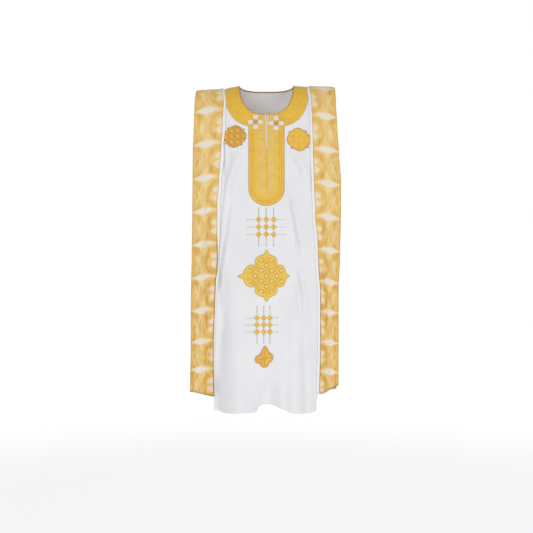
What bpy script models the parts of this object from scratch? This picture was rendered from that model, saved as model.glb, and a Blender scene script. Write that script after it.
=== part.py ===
"""Grand boubou robe, worn: white breadths, folded brocade wings and raised gold embroidery.

Metres, +Z up. The robe faces -Y. The origin is midway between the wearer's shoulders, at the height where
the robe lies on them. Every piece is worked out on one surface, given by x, the distance from the middle,
and by path, the distance along the cloth from the shoulder line, below 0 in front and above 0 behind.
"""

import math

import bmesh
import bpy
from mathutils import Vector

# Cloth
PANEL_CLOTH = 0.0020
BROCADE_CLOTH = 0.0020
EMBROIDERY = 0.0012
SEAM_GAP = 0.0004
EMBROIDERY_GAP = 0.0008

# Hang: how far the cloth stands out from the shoulder line, and how it bends over the shoulder
SHOULDER_BEND = 0.057
SHOULDER_DROP = 0.018
MIDDLE_DEPTH = {"front": 0.135, "back": 0.118}
WING_DEPTH = {"front": 0.074, "back": 0.070}
WING_HALF_WIDTH = 0.265
BODY_ROUNDNESS = 2.2

# How far the shoulder line stands above that plain slope: x and height. The left wing lies lower than the right one
SHOULDER_LIFTS = (
    (-0.265, -0.0045),
    (-0.170, -0.0058),
    (-0.150, -0.0030),
    (-0.127, 0.0015),
    (-0.090, 0.0055),
    (0.110, 0.0055),
    (0.155, 0.0045),
    (0.233, 0.0065),
    (0.265, 0.0070),
)
SHOULDER_LIFT_REACH = 0.085

# Lengths below the shoulder line
FRONT_HEM = 1.152
BACK_HEM = 1.150
# The front hem rises over the left edge to a level stretch and falls over the right edge: start, then width
HEM_RISE = 0.024
HEM_RISE_LEFT = (-0.040, 0.020)
HEM_RISE_RIGHT = (0.008, 0.095)
HEM_CORNER_RISE = 0.009
HEM_CORNER_START = 0.145
HEM_CORNER_WIDTH = 0.040
HEM_NARROWING = {"left": 0.038, "right": 0.074}
HEM_NARROWING_START = 1.03
HEM_NARROWING_LENGTH = 0.10
WING_HEMS = (
    {"left": (1.091, 1.070), "right": (1.082, 1.042)},
    {"left": (1.096, 1.072), "right": (1.094, 1.070)},
)
HEM_SLANT_START = 0.195
HEM_SLANT_WIDTH = 0.065
LAST_ROW = 0.012

# Neck and shoulder seam
SHOULDER_SEAM = 0.022
NECK_HALF_WIDTH = 0.097
NECK_FRONT = 0.155
NECK_BACK = 0.045
NECK_SQUARENESS = 2.8
BAND_HALF_WIDTH = 0.150
BAND_FRONT = 0.202
BAND_BACK = 0.100
BAND_SQUARENESS = 3.0
BAND_SETBACK = 0.001
SLIT_TOP_GAP = 0.0070
SLIT_THROAT = 0.0014
SLIT_THROAT_PATH = 0.185
SLIT_TAPER = 0.5
SLIT_END = 0.285
SLIT_SETBACK = 0.0006

# Wings: distances from the middle, at heights below the shoulder line
WING_COLUMNS = ("down", "left_cuff", "left_fold", "right_cuff", "right_fold")
WING_ROWS = (
    (0.000, 0.158, 0.252, 0.153, 0.245),
    (0.060, 0.151, 0.254, 0.158, 0.245),
    (0.135, 0.152, 0.255, 0.160, 0.248),
    (0.230, 0.159, 0.258, 0.162, 0.254),
    (0.336, 0.165, 0.259, 0.165, 0.261),
    (0.442, 0.171, 0.260, 0.169, 0.261),
    (0.583, 0.173, 0.262, 0.179, 0.258),
    (0.724, 0.179, 0.265, 0.186, 0.253),
    (0.900, 0.184, 0.269, 0.186, 0.254),
    (1.083, 0.187, 0.273, 0.183, 0.255),
)
WING_MIDDLE = 0.220
SEAM_UNDER_CUFF = 0.006
FOLD_RISE = 0.0085
CUFF_RISE = 0.0055
BORDER_WIDTH = 0.0080
BORDER_TURNED_UNDER = {"left": 0.0050, "right": 0.0015}
BORDER_TURN_START = 0.60
BORDER_TURN_LENGTH = 0.18
WING_SETBACK = 0.072
WING_SETBACK_START = 0.72
WING_SETBACK_LENGTH = 0.80
WING_SETBACK_INNER = 0.060
WING_SETBACK_WIDTH = 0.180

# Largest folds: a ridge or a trough from one point to another, depth below 0 for a trough
FOLD_FADE_IN = 0.45
FOLD_FADE_OUT = 0.15
FOLD_COLUMNS = ("side", "x_top", "down_top", "x_end", "down_end", "half_width", "depth")
FOLD_ROWS = (
    ("front", 0.000, 0.96, 0.012, 1.40, 0.048, -0.056),
    ("front", -0.105, 0.60, -0.100, 1.25, 0.045, 0.012),
    ("front", 0.105, 0.60, 0.110, 1.25, 0.042, 0.012),
    ("front", -0.112, 0.20, -0.158, 0.44, 0.014, 0.006),
    ("front", -0.150, 0.40, -0.166, 1.30, 0.020, -0.009),
    ("front", 0.072, 0.34, 0.128, 0.76, 0.012, 0.005),
    ("front", 0.092, 0.42, 0.122, 0.74, 0.010, -0.004),
    ("front", 0.066, 0.74, 0.070, 1.25, 0.016, -0.009),
    ("front", -0.225, 0.30, -0.222, 1.20, 0.022, -0.005),
    ("front", 0.222, 0.45, 0.215, 1.20, 0.022, -0.006),
    ("back", 0.000, 0.12, 0.004, 1.25, 0.070, -0.020),
    ("back", -0.100, 0.30, -0.118, 1.25, 0.030, 0.012),
    ("back", 0.094, 0.36, 0.122, 1.25, 0.034, 0.010),
    ("back", -0.050, 0.62, -0.046, 1.25, 0.018, 0.007),
    ("back", 0.160, 0.50, 0.152, 1.25, 0.020, -0.008),
    ("back", -0.218, 0.40, -0.228, 1.20, 0.022, -0.006),
    ("back", 0.230, 0.30, 0.220, 1.20, 0.020, -0.005),
)

# Embroidery below the neck: places are x and height below the shoulder line
BIB_HALF_WIDTH = 0.0627
BIB_BOTTOM = 0.429
ROSETTE_RADIUS = 0.0405
ROSETTE_PLACES = {"left": (-0.112, 0.183), "right": (0.1135, 0.192)}
ROSETTE_TURNS = {"left": math.radians(-8), "right": math.radians(7)}
KNOT_PLACE = (0.0003, 0.673)
KNOT_RADIUS = 0.0925
CLOVER_PLACE = (-0.0055, 0.961)
CLOVER_RADIUS = 0.0365
CLOVER_SLANT = 0.14
MOTIF_SQUEEZE = 0.11
GRID_PLACES = {"upper": (-0.001, 0.503), "lower": (-0.0095, 0.844)}
GRID_PITCHES = {"upper": (0.0261, 0.0261), "lower": (0.0226, 0.0244)}
DIAMOND_HALF_DIAGONAL = 0.0105
GRID_LINE_WIDTH = 0.0018
GRID_LINE_LENGTH = 0.030

# Facets
PANEL_ROWS = 28
ROW_CROWDING = 1.4
NECK_COLUMNS = 9
SHOULDER_COLUMNS = 4
LAYER_FACETS = 3
TURN_FACETS = 4
BAND_FRONT_FACETS = (18, 3)
BAND_BACK_FACETS = (16, 4)
BAND_CROWDING = 1.5
LINE_FACET = 0.012
BIB_RINGS, BIB_RUNS, BIB_ARCS = 3, 14, 10
SLOPE_STEP = 0.0004
WELD = 0.00002

WHITE = (0.86, 0.86, 0.88, 1.0)
GOLD = (0.80, 0.47, 0.06, 1.0)
BROCADE_GOLD = (0.84, 0.60, 0.26, 1.0)


def smooth(share):
    """From 0 to 1 with level ends."""
    share = min(max(share, 0.0), 1.0)
    return share * share * (3 - 2 * share)


def wing_width(name, down):
    """A wing's cuff or fold, at a height below the shoulder line."""
    column = WING_COLUMNS.index(name)
    for above, below in zip(WING_ROWS, WING_ROWS[1:]):
        if down <= below[0] or below is WING_ROWS[-1]:
            share = smooth((down - above[0]) / (below[0] - above[0]))
            return above[column] + (below[column] - above[column]) * share


def seam_x(side, path):
    """Where the white breadths end under a wing's cuff, as a distance from the middle. They narrow to the hem."""
    narrowing = smooth((down_at(path) - HEM_NARROWING_START) / HEM_NARROWING_LENGTH)
    width = wing_width(side + "_cuff", down_at(path)) + SEAM_UNDER_CUFF
    return width * (1 - HEM_NARROWING[side] * narrowing)


def down_at(path):
    """Height below the shoulder line of cloth that lies flat there and turns down over the shoulder."""
    return math.hypot(path, SHOULDER_BEND) - SHOULDER_BEND


def path_at(down):
    return math.sqrt((down + SHOULDER_BEND) ** 2 - SHOULDER_BEND**2)


def fold_depth(side, x, down):
    """How far the folds bring the cloth out from its plain hang."""
    total = 0.0
    for row in FOLD_ROWS:
        fold = dict(zip(FOLD_COLUMNS, row))
        if fold["side"] != side:
            continue
        length = fold["down_end"] - fold["down_top"]
        along = (down - fold["down_top"]) / length
        middle = fold["x_top"] + (fold["x_end"] - fold["x_top"]) * min(max(along, 0.0), 1.0)
        across = math.exp(-(((x - middle) / fold["half_width"]) ** 2))
        fade = smooth(along / FOLD_FADE_IN) * smooth((1.0 - along) / FOLD_FADE_OUT)
        total += fold["depth"] * across * fade
    return total


def shoulder_lift(x, path):
    """How much higher the cloth lies than the shoulder's plain slope. It fades out down the cloth."""
    x = min(max(x, SHOULDER_LIFTS[0][0]), SHOULDER_LIFTS[-1][0])
    for near, far in zip(SHOULDER_LIFTS, SHOULDER_LIFTS[1:]):
        if x <= far[0]:
            share = smooth((x - near[0]) / (far[0] - near[0]))
            lift = near[1] + (far[1] - near[1]) * share
            return lift * math.exp(-((path / SHOULDER_LIFT_REACH) ** 2))


def hung(x, path):
    """The point of the cloth's middle at x and path."""
    side = "front" if path < 0 else "back"
    down = down_at(path)
    outward = min(abs(x) / WING_HALF_WIDTH, 1.0)
    depth = MIDDLE_DEPTH[side] - (MIDDLE_DEPTH[side] - WING_DEPTH[side]) * outward**BODY_ROUNDNESS
    fall = depth * depth / (2 * SHOULDER_BEND)
    out = depth * math.sqrt(1 - math.exp(-down / fall))
    out += fold_depth(side, x, down)
    sideways = smooth((abs(x) - WING_SETBACK_INNER) / WING_SETBACK_WIDTH)
    out -= WING_SETBACK * sideways * smooth((down - WING_SETBACK_START) / WING_SETBACK_LENGTH)
    lower = SHOULDER_DROP * outward**2 - shoulder_lift(x, path)
    return Vector((x, math.copysign(out, path), -lower - down))


def lifted(x, path, rise):
    """The point that lies rise outside the cloth's middle."""
    along_x = hung(x + SLOPE_STEP, path) - hung(x - SLOPE_STEP, path)
    along_path = hung(x, path + SLOPE_STEP) - hung(x, path - SLOPE_STEP)
    return hung(x, path) + along_x.cross(along_path).normalized() * rise


def superellipse(half_width, length, squareness, turn):
    """(x, path) on a rounded outline, from its side at turn 0 to its end at a quarter turn."""
    power = 2 / squareness
    return half_width * max(math.cos(turn), 0.0) ** power, length * max(math.sin(turn), 0.0) ** power


def slit_half_gap(path):
    """Half the slit's width, wide at the neck, narrow down the breast and closed at its end."""
    if path >= SLIT_END:
        return 0.0
    if path < SLIT_THROAT_PATH:
        share = (path - NECK_FRONT) / (SLIT_THROAT_PATH - NECK_FRONT)
        return (SLIT_TOP_GAP + (SLIT_THROAT - SLIT_TOP_GAP) * smooth(share)) / 2
    share = smooth((path - SLIT_THROAT_PATH) / (SLIT_END - SLIT_THROAT_PATH))
    return SLIT_THROAT / 2 * (1 - SLIT_TAPER * share)


def material(name, colour, roughness):
    made = bpy.data.materials.new(name)
    made.use_nodes = True
    shader = made.node_tree.nodes["Principled BSDF"]
    shader.inputs["Base Color"].default_value = colour
    shader.inputs["Roughness"].default_value = roughness
    return made


def cloth_piece(name, faces, thickness, look):
    """One solid from open faces, each a list of points that neighbours repeat."""
    shape = bmesh.new()
    for face in faces:
        shape.faces.new([shape.verts.new(point) for point in face])
    bmesh.ops.remove_doubles(shape, verts=shape.verts, dist=WELD)
    bmesh.ops.recalc_face_normals(shape, faces=shape.faces)
    mesh = bpy.data.meshes.new(name)
    shape.to_mesh(mesh)
    shape.free()
    mesh.materials.append(look)
    piece = bpy.data.objects.new(name, mesh)
    PIECES.objects.link(piece)
    wall = piece.modifiers.new("Wall", "SOLIDIFY")
    wall.thickness = thickness
    wall.offset = 0.0
    wall.use_even_offset = True
    wall.use_quality_normals = True
    mesh.shade_smooth()
    return piece


def quads(rows):
    """The faces between neighbouring rows of points."""
    for upper, lower in zip(rows, rows[1:]):
        for left in range(len(upper) - 1):
            yield [upper[left], lower[left], lower[left + 1], upper[left + 1]]


def rows_between(top, bottom):
    """Paths from top to bottom, closer together at the top."""
    return [top + (bottom - top) * (row / PANEL_ROWS) ** ROW_CROWDING for row in range(PANEL_ROWS + 1)]


def panel_faces(front):
    """The faces of the white front or back, a half at a time, cut round the neck and up the slit."""
    neck_length = NECK_FRONT if front else NECK_BACK
    seam_path = SHOULDER_SEAM + SEAM_GAP if front else SEAM_GAP - SHOULDER_SEAM
    for side, sign in (("left", -1), ("right", 1)):
        tops = []
        for column in range(NECK_COLUMNS):
            across = math.sin(math.pi / 2 * column / NECK_COLUMNS)
            path = neck_length * (1 - across**NECK_SQUARENESS) ** (1 / NECK_SQUARENESS)
            tops.append((NECK_HALF_WIDTH * across / seam_x(side, path), path))
        inner_share = NECK_HALF_WIDTH / seam_x(side, seam_path)
        for column in range(SHOULDER_COLUMNS + 1):
            tops.append((inner_share + (1 - inner_share) * column / SHOULDER_COLUMNS, seam_path))
        columns = []
        for share, top in tops:
            points = []
            bottom = path_at(hem_down(front, sign * share * seam_x(side, FRONT_HEM)))
            for path in rows_between(top, bottom):
                x = max(share * seam_x(side, abs(path)), slit_half_gap(path) if front else 0.0)
                points.append(hung(sign * x, -path if front else path))
            columns.append(points)
        yield from quads(columns)


def hem_down(front, x):
    """The white hem's height below the shoulder line, higher at its corners and between the legs in front."""
    rise = HEM_CORNER_RISE * smooth((abs(x) - HEM_CORNER_START) / HEM_CORNER_WIDTH)
    if not front:
        return BACK_HEM - rise
    left, right = [smooth((x - start) / width) for start, width in (HEM_RISE_LEFT, HEM_RISE_RIGHT)]
    return FRONT_HEM - rise - HEM_RISE * left * (1 - right)


def wing_path(side, x, station):
    """The path at a wing's station, which stops at the slanted hems."""
    share = min(max((abs(x) - HEM_SLANT_START) / HEM_SLANT_WIDTH, 0.0), 1.0)
    ends = [path_at(hems[side][0] + (hems[side][1] - hems[side][0]) * share) for hems in WING_HEMS]
    return min(max(station, -ends[0]), ends[1])


def wing_stations(side):
    """Paths from the front hem to the back hem, which match the rows of the white breadths at the seams."""
    ends = [path_at(hem_down(front, seam_x(side, FRONT_HEM))) for front in (True, False)]
    front = rows_between(SHOULDER_SEAM, ends[0])
    back = rows_between(-SHOULDER_SEAM, ends[1])
    longest = [path_at(min(hems[side])) - LAST_ROW for hems in WING_HEMS]
    stations = [-path for path in reversed(front) if path < longest[0]]
    stations += [path for path in back[1:] if path < longest[1]]
    return [-math.inf] + stations + [math.inf]


def wing_section(side, station):
    """(distance from the middle, rise) across a wing: under layer, turn at the fold, and top layer."""
    down = down_at(wing_path(side, WING_MIDDLE, station))
    cuff = wing_width(side + "_cuff", down)
    fold = wing_width(side + "_fold", down)
    turn_radius = FOLD_RISE / 2
    inner = cuff + SEAM_UNDER_CUFF + SEAM_GAP
    edge = fold - turn_radius - BROCADE_CLOTH / 2
    section = [(inner + (edge - inner) * step / LAYER_FACETS, 0.0) for step in range(LAYER_FACETS)]
    for step in range(TURN_FACETS + 1):
        angle = math.pi * step / TURN_FACETS
        section.append((edge + turn_radius * math.sin(angle), turn_radius * (1 - math.cos(angle))))
    for step in range(1, LAYER_FACETS + 1):
        share = step / LAYER_FACETS
        section.append((edge + (cuff - edge) * share, FOLD_RISE + (CUFF_RISE - FOLD_RISE) * share))
    return section


def wing_faces(side, section_of):
    """Faces of a strip that runs from the front hem over the shoulder to the back hem."""
    sign = -1 if side == "left" else 1
    rows = []
    for station in wing_stations(side):
        section = section_of(side, station)
        rows.append([lifted(sign * x, wing_path(side, x, station), rise) for x, rise in section])
    return quads(rows)


def border_section(side, station):
    """(distance from the middle, rise) across a border, which is turned under more in the lower half."""
    down = down_at(wing_path(side, WING_MIDDLE, station))
    cuff = wing_width(side + "_cuff", down)
    width = BORDER_WIDTH - BORDER_TURNED_UNDER[side] * smooth((down - BORDER_TURN_START) / BORDER_TURN_LENGTH)
    return [(cuff - SEAM_GAP, CUFF_RISE), (cuff - SEAM_GAP - width, CUFF_RISE)]


def on_cloth(x, path):
    """The middle of embroidery that lies on the white cloth."""
    return lifted(x, path, PANEL_CLOTH / 2 + EMBROIDERY_GAP + EMBROIDERY / 2)


def band_outline(front, share):
    """(half width, length, squareness) of a row of the neck band, inner edge at share 0, outer edge at 1."""
    lengths = (NECK_FRONT, BAND_FRONT) if front else (NECK_BACK, BAND_BACK)
    inner = (NECK_HALF_WIDTH + BAND_SETBACK, lengths[0] + BAND_SETBACK, NECK_SQUARENESS)
    outer = (BAND_HALF_WIDTH, lengths[1], BAND_SQUARENESS)
    return [near + (far - near) * share for near, far in zip(inner, outer)]


def front_band_faces(sign):
    """Faces of the neck band on one side of the front, from the shoulder seam to the bib."""
    steps, rings = BAND_FRONT_FACETS
    rows = []
    for step in range(steps + 1):
        row = []
        for ring in range(rings + 1):
            half_width, length, squareness = band_outline(True, ring / rings)
            start = math.asin(((SHOULDER_SEAM + SEAM_GAP) / length) ** (squareness / 2))
            end = math.acos(((BIB_HALF_WIDTH + SEAM_GAP) / half_width) ** (squareness / 2))
            turn = start + (end - start) * (step / steps) ** BAND_CROWDING
            x, path = superellipse(half_width, length, squareness, turn)
            row.append(on_cloth(sign * x, -path))
        rows.append(row)
    return quads(rows)


def back_band_faces():
    """Faces of the neck band round the back, which reach over the shoulders to the seams in front."""
    steps, rings = BAND_BACK_FACETS
    faces = []
    for sign in (-1, 1):
        rows = []
        for path in (SEAM_GAP - SHOULDER_SEAM, -SHOULDER_SEAM / 2):
            widths = [band_outline(False, ring / rings)[0] for ring in range(rings + 1)]
            rows.append([on_cloth(sign * width, path) for width in widths])
        for step in range(steps + 1):
            turn = math.pi / 2 * (step / steps) ** BAND_CROWDING
            outlines = [band_outline(False, ring / rings) for ring in range(rings + 1)]
            points = [superellipse(*outline, turn) for outline in outlines]
            rows.append([on_cloth(sign * x, path) for x, path in points])
        faces += quads(rows)
    return faces


def bib_row(side, kind, value):
    """Points across the bib, from the slit out, at a place on its straight run or its round end."""
    centre = path_at(BIB_BOTTOM) - BIB_HALF_WIDTH
    row = []
    for ring in range(BIB_RINGS + 1):
        radius = BIB_HALF_WIDTH * ring / BIB_RINGS
        if kind == "arc":
            row.append(on_cloth(side * radius * math.cos(value), -centre - radius * math.sin(value)))
            continue
        x_top = max(radius, SLIT_TOP_GAP / 2)
        top = NECK_FRONT * (1 - (x_top / NECK_HALF_WIDTH) ** NECK_SQUARENESS) ** (1 / NECK_SQUARENESS)
        path = top + BAND_SETBACK + (centre - top - BAND_SETBACK) * value
        slit = slit_half_gap(path) + SLIT_SETBACK if path < SLIT_END else 0.0
        row.append(on_cloth(side * max(radius, slit), -path))
    return row


def bib_faces():
    """Faces between nested U rows, down one side, round the end and up the other side."""
    stations = [("run", step / BIB_RUNS) for step in range(BIB_RUNS + 1)]
    stations += [("arc", math.pi / 2 * step / BIB_ARCS) for step in range(1, BIB_ARCS + 1)]
    rows = [bib_row(-1, kind, value) for kind, value in stations]
    rows += [bib_row(1, kind, value) for kind, value in reversed(stations[:-1])]
    return quads(rows)


def round_faces(place, outline, spokes, rings, squeeze=0.0, slant=0.0, turned=0.0):
    """Faces of a flat shape round its middle, whose outline gives the radius at an angle from +X.

    A squeezed shape is narrower on its right, where the cloth draws it in, and a slanted one rises there.
    """
    middle_x, middle_down = place
    middle_path = path_at(middle_down)
    width = outline(0.0)
    rows = []
    for spoke in range(spokes + 1):
        angle = 2 * math.pi * spoke / spokes
        row = []
        for ring in range(1, rings + 1):
            reach = outline(angle) * ring / rings
            across, along = reach * math.cos(angle + turned), reach * math.sin(angle + turned)
            x = middle_x + across * (1 - squeeze * across / width)
            row.append(on_cloth(x, -middle_path + along + slant * across))
        rows.append(row)
    middle = on_cloth(middle_x, -middle_path)
    faces = list(quads(rows))
    faces += [[middle, near[0], far[0]] for near, far in zip(rows, rows[1:])]
    return faces


def rosette_outline(angle):
    """Four round petals with a small point between neighbours."""
    petals = 0.82 + 0.18 * abs(math.cos(2 * angle)) ** 0.7
    points = 0.24 * max(0.0, 1 - abs((angle / (math.pi / 2)) % 1 - 0.5) * 11)
    return ROSETTE_RADIUS * (petals + points)


def knot_outline(angle):
    """Four broad lobes, each drawn out to a point on an axis."""
    turn = (angle / (math.pi / 2) + 0.5) % 1 - 0.5
    lobe = 0.81 - 0.25 * (2 * abs(turn)) ** 4.3
    tip = 0.19 * max(0.0, 1 - abs(turn) * 10) ** 1.3
    return KNOT_RADIUS * (lobe + tip)


def clover_outline(angle):
    """Two side leaves, a leaf below and a narrow pointed one above."""
    leaves = 0.58 + 0.30 * abs(math.cos(2 * angle)) ** 0.8
    point = 0.34 * max(0.0, 1 - abs(angle - math.pi / 2) * 2.4) ** 1.3
    return CLOVER_RADIUS * (leaves + point)


def grid_faces(which):
    """Nine diamonds joined by narrow lines that run on past them."""
    middle_x, middle_down = GRID_PLACES[which]
    middle_path = path_at(middle_down)
    pitch_x, pitch_path = GRID_PITCHES[which]
    half_line = GRID_LINE_WIDTH / 2
    tip = DIAMOND_HALF_DIAGONAL - half_line
    quarter = [(tip, -half_line), (tip, half_line)]
    corners = quarter + [(-y, x) for x, y in quarter]
    corners += [(-x, -y) for x, y in corners]

    def at(x, path):
        return on_cloth(middle_x + x, -middle_path + path)

    faces = []
    for column in (-1, 0, 1):
        for row in (-1, 0, 1):
            x, path = column * pitch_x, row * pitch_path
            faces.append([at(x + dx, path + dy) for dx, dy in corners])
            reach_x = pitch_x - tip if column < 1 else tip + GRID_LINE_LENGTH
            reach_path = pitch_path - tip if row < 1 else tip + GRID_LINE_LENGTH
            faces += line_faces(at, x + tip, x + reach_x, path, half_line, False)
            faces += line_faces(at, path + tip, path + reach_path, x, half_line, True)
            if column < 0:
                faces += line_faces(at, x - tip - GRID_LINE_LENGTH, x - tip, path, half_line, False)
            if row < 0:
                faces += line_faces(at, path - tip - GRID_LINE_LENGTH, path - tip, x, half_line, True)
    return faces


def line_faces(at, start, end, across, half_line, upright):
    """One narrow line between two distances, in short lengths that follow the cloth."""
    count = max(1, round((end - start) / LINE_FACET))
    ends = [start + (end - start) * step / count for step in range(count + 1)]
    for near, far in zip(ends, ends[1:]):
        low, high = across - half_line, across + half_line
        corners = [(near, low), (far, low), (far, high), (near, high)]
        if upright:
            corners = [(second, first) for first, second in reversed(corners)]
        yield [at(x, path) for x, path in corners]


for startup in list(bpy.data.objects):
    bpy.data.objects.remove(startup)
PIECES = bpy.data.collections.new("grand_boubou")
bpy.context.scene.collection.children.link(PIECES)

for name, front in (("front_panel", True), ("back_panel", False)):
    cloth_piece(name, panel_faces(front), PANEL_CLOTH, material(name, WHITE, 0.75))
for side in ("left", "right"):
    wing = wing_faces(side, wing_section)
    cloth_piece("wing_" + side, wing, BROCADE_CLOTH, material("wing_" + side, BROCADE_GOLD, 0.5))
    border = wing_faces(side, border_section)
    cloth_piece("border_" + side, border, BROCADE_CLOTH, material("border_" + side, WHITE, 0.7))
EMBROIDERED = {
    "neck_band_left": front_band_faces(-1),
    "neck_band_right": front_band_faces(1),
    "neck_band_back": back_band_faces(),
    "breast_bib": bib_faces(),
    "rosette_left": round_faces(ROSETTE_PLACES["left"], rosette_outline, 32, 2, turned=ROSETTE_TURNS["left"]),
    "rosette_right": round_faces(ROSETTE_PLACES["right"], rosette_outline, 32, 2, turned=ROSETTE_TURNS["right"]),
    "knot_medallion": round_faces(KNOT_PLACE, knot_outline, 56, 3, MOTIF_SQUEEZE),
    "clover": round_faces(CLOVER_PLACE, clover_outline, 40, 2, MOTIF_SQUEEZE, CLOVER_SLANT),
    "diamond_grid_upper": grid_faces("upper"),
    "diamond_grid_lower": grid_faces("lower"),
}
for name, faces in EMBROIDERED.items():
    cloth_piece(name, faces, EMBROIDERY, material(name, GOLD, 0.45))
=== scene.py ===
"""Looks of a grand boubou: white cotton breadths, folded brocade wings and gold thread embroidery.

Metres, +Z up. The robe faces -Y and hangs from the shoulders at the origin. Every piece is laid out on one
surface, given by x, the distance from the middle, and by path, the distance along the cloth from the
shoulder line, below 0 in front and above 0 behind.
"""

import bmesh
import bpy
import numpy as np
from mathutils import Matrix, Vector


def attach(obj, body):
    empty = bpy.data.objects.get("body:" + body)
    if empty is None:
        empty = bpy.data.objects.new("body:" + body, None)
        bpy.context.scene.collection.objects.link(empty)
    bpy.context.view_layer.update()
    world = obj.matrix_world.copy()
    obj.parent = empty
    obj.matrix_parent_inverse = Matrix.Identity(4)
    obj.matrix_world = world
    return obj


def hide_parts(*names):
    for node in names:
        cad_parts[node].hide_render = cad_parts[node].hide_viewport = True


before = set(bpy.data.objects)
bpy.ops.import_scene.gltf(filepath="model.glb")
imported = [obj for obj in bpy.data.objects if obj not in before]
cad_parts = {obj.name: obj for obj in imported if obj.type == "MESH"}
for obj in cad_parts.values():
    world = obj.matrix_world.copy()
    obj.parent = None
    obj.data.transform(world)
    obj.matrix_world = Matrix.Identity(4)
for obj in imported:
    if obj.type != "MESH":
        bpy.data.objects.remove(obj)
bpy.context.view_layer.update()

# Studio: a plain pale floor where a standing wearer's feet would be, with white surroundings. Two large soft
# lights stand in front and one behind, and the camera is 4 m off at half the robe's height.
FLOOR_HEIGHT = -1.573
FLOOR_RADIUS = 3.0
FLOOR_FADE = (1.2, 2.6)
FLOOR_COLOUR = (0.94, 0.94, 0.945, 1.0)
FLOOR_GLOW = 0.90
CAMERA_PLACE = (0.0, -4.0, -0.570)
CAMERA_TARGET = (0.0, 0.0, -0.643)
CAMERA_LENS = 75.0
SURROUND_LIGHT = 0.50
LAMP_ROWS = (
    ("key", (-1.7, -3.4, 0.4), 2.2, 44.0),
    ("fill", (2.5, -3.0, -0.1), 2.2, 34.0),
    ("back", (0.8, 3.6, 0.3), 2.4, 46.0),
)
LAMP_TARGET = (0.0, 0.0, -0.60)


def node(tree, kind, inputs=None, **settings):
    """A new node with its settings, its input values and its links."""
    made = tree.nodes.new(kind)
    for name, value in settings.items():
        setattr(made, name, value)
    for place, value in (inputs or {}).items():
        value = getattr(value, "socket", value)
        if isinstance(value, bpy.types.NodeSocket):
            tree.links.new(value, made.inputs[place])
        else:
            made.inputs[place].default_value = value
    return made


def aimed(thing, place, target):
    thing.location = place
    thing.rotation_euler = (Vector(target) - Vector(place)).to_track_quat("-Z", "Y").to_euler()
    bpy.context.scene.collection.objects.link(thing)


lens = bpy.data.cameras.new("camera")
lens.lens = CAMERA_LENS
lens.clip_end = 60.0
camera = bpy.data.objects.new("camera", lens)
aimed(camera, CAMERA_PLACE, CAMERA_TARGET)
bpy.context.scene.camera = camera
bpy.context.scene.view_settings.view_transform = "Standard"

for lamp_name, lamp_place, lamp_size, lamp_power in LAMP_ROWS:
    lamp = bpy.data.lights.new(lamp_name, "AREA")
    lamp.shape = "DISK"
    lamp.size = lamp_size
    lamp.energy = lamp_power
    aimed(bpy.data.objects.new(lamp_name, lamp), lamp_place, LAMP_TARGET)

world = bpy.data.worlds.new("studio")
world.use_nodes = True
bpy.context.scene.world = world
sky = world.node_tree
sky.nodes.clear()
seen = node(sky, "ShaderNodeBackground", {"Color": (1, 1, 1, 1), "Strength": 1.0})
cast = node(sky, "ShaderNodeBackground", {"Color": (0.98, 0.985, 1, 1), "Strength": SURROUND_LIGHT})
rays = node(sky, "ShaderNodeLightPath")
both = node(sky, "ShaderNodeMixShader", {
    0: rays.outputs["Is Camera Ray"], 1: cast.outputs[0], 2: seen.outputs[0]})
node(sky, "ShaderNodeOutputWorld", {"Surface": both.outputs[0]})

paint = bpy.data.materials.new("floor_paint")
paint.use_nodes = True
floor_tree = paint.node_tree
floor_tree.nodes.clear()
coordinates = node(floor_tree, "ShaderNodeTexCoord")
reach = node(floor_tree, "ShaderNodeVectorMath", {0: coordinates.outputs["Object"]}, operation="LENGTH")
edge = node(floor_tree, "ShaderNodeMapRange", {
    "Value": reach.outputs["Value"], "From Min": FLOOR_FADE[0], "From Max": FLOOR_FADE[1],
}, interpolation_type="SMOOTHSTEP")
matt = node(floor_tree, "ShaderNodeBsdfDiffuse", {"Color": FLOOR_COLOUR})
glow = node(floor_tree, "ShaderNodeEmission", {"Color": FLOOR_COLOUR, "Strength": 1.0})
lit = node(floor_tree, "ShaderNodeMixShader", {0: FLOOR_GLOW, 1: matt.outputs[0], 2: glow.outputs[0]})
clear = node(floor_tree, "ShaderNodeBsdfTransparent")
faded = node(floor_tree, "ShaderNodeMixShader", {0: edge.outputs[0], 1: lit.outputs[0], 2: clear.outputs[0]})
node(floor_tree, "ShaderNodeOutputMaterial", {"Surface": faded.outputs[0]})
disc = bmesh.new()
bmesh.ops.create_circle(disc, cap_ends=True, segments=96, radius=FLOOR_RADIUS)
bmesh.ops.recalc_face_normals(disc, faces=disc.faces)
floor_mesh = bpy.data.meshes.new("floor")
disc.to_mesh(floor_mesh)
disc.free()
floor_mesh.materials.append(paint)
floor = bpy.data.objects.new("floor", floor_mesh)
floor.location.z = FLOOR_HEIGHT
bpy.context.scene.collection.objects.link(floor)

# White front breadth: plain bleached cotton cut round the neck and slit down the breast. It is sewn to the
# back breadth a little in front of the shoulder line and to the wings at its sides, and has a turned hem.
SHOULDER_BEND = 0.057
SHOULDER_DROP = 0.018
# How far the cloth stands out in front and behind, in the middle and at the wings' folds
MIDDLE_DEPTH = (0.135, 0.118)
WING_DEPTH = (0.074, 0.070)
WING_HALF_WIDTH = 0.265
BODY_ROUNDNESS = 2.2
# How far the shoulder line stands above its plain slope: x, then height
SHOULDER_LIFTS = np.array((
    (-0.265, -0.0045), (-0.170, -0.0058), (-0.150, -0.0030), (-0.127, 0.0015), (-0.090, 0.0055),
    (0.110, 0.0055), (0.155, 0.0045), (0.233, 0.0065), (0.265, 0.0070),
))
SHOULDER_LIFT_REACH = 0.085
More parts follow.
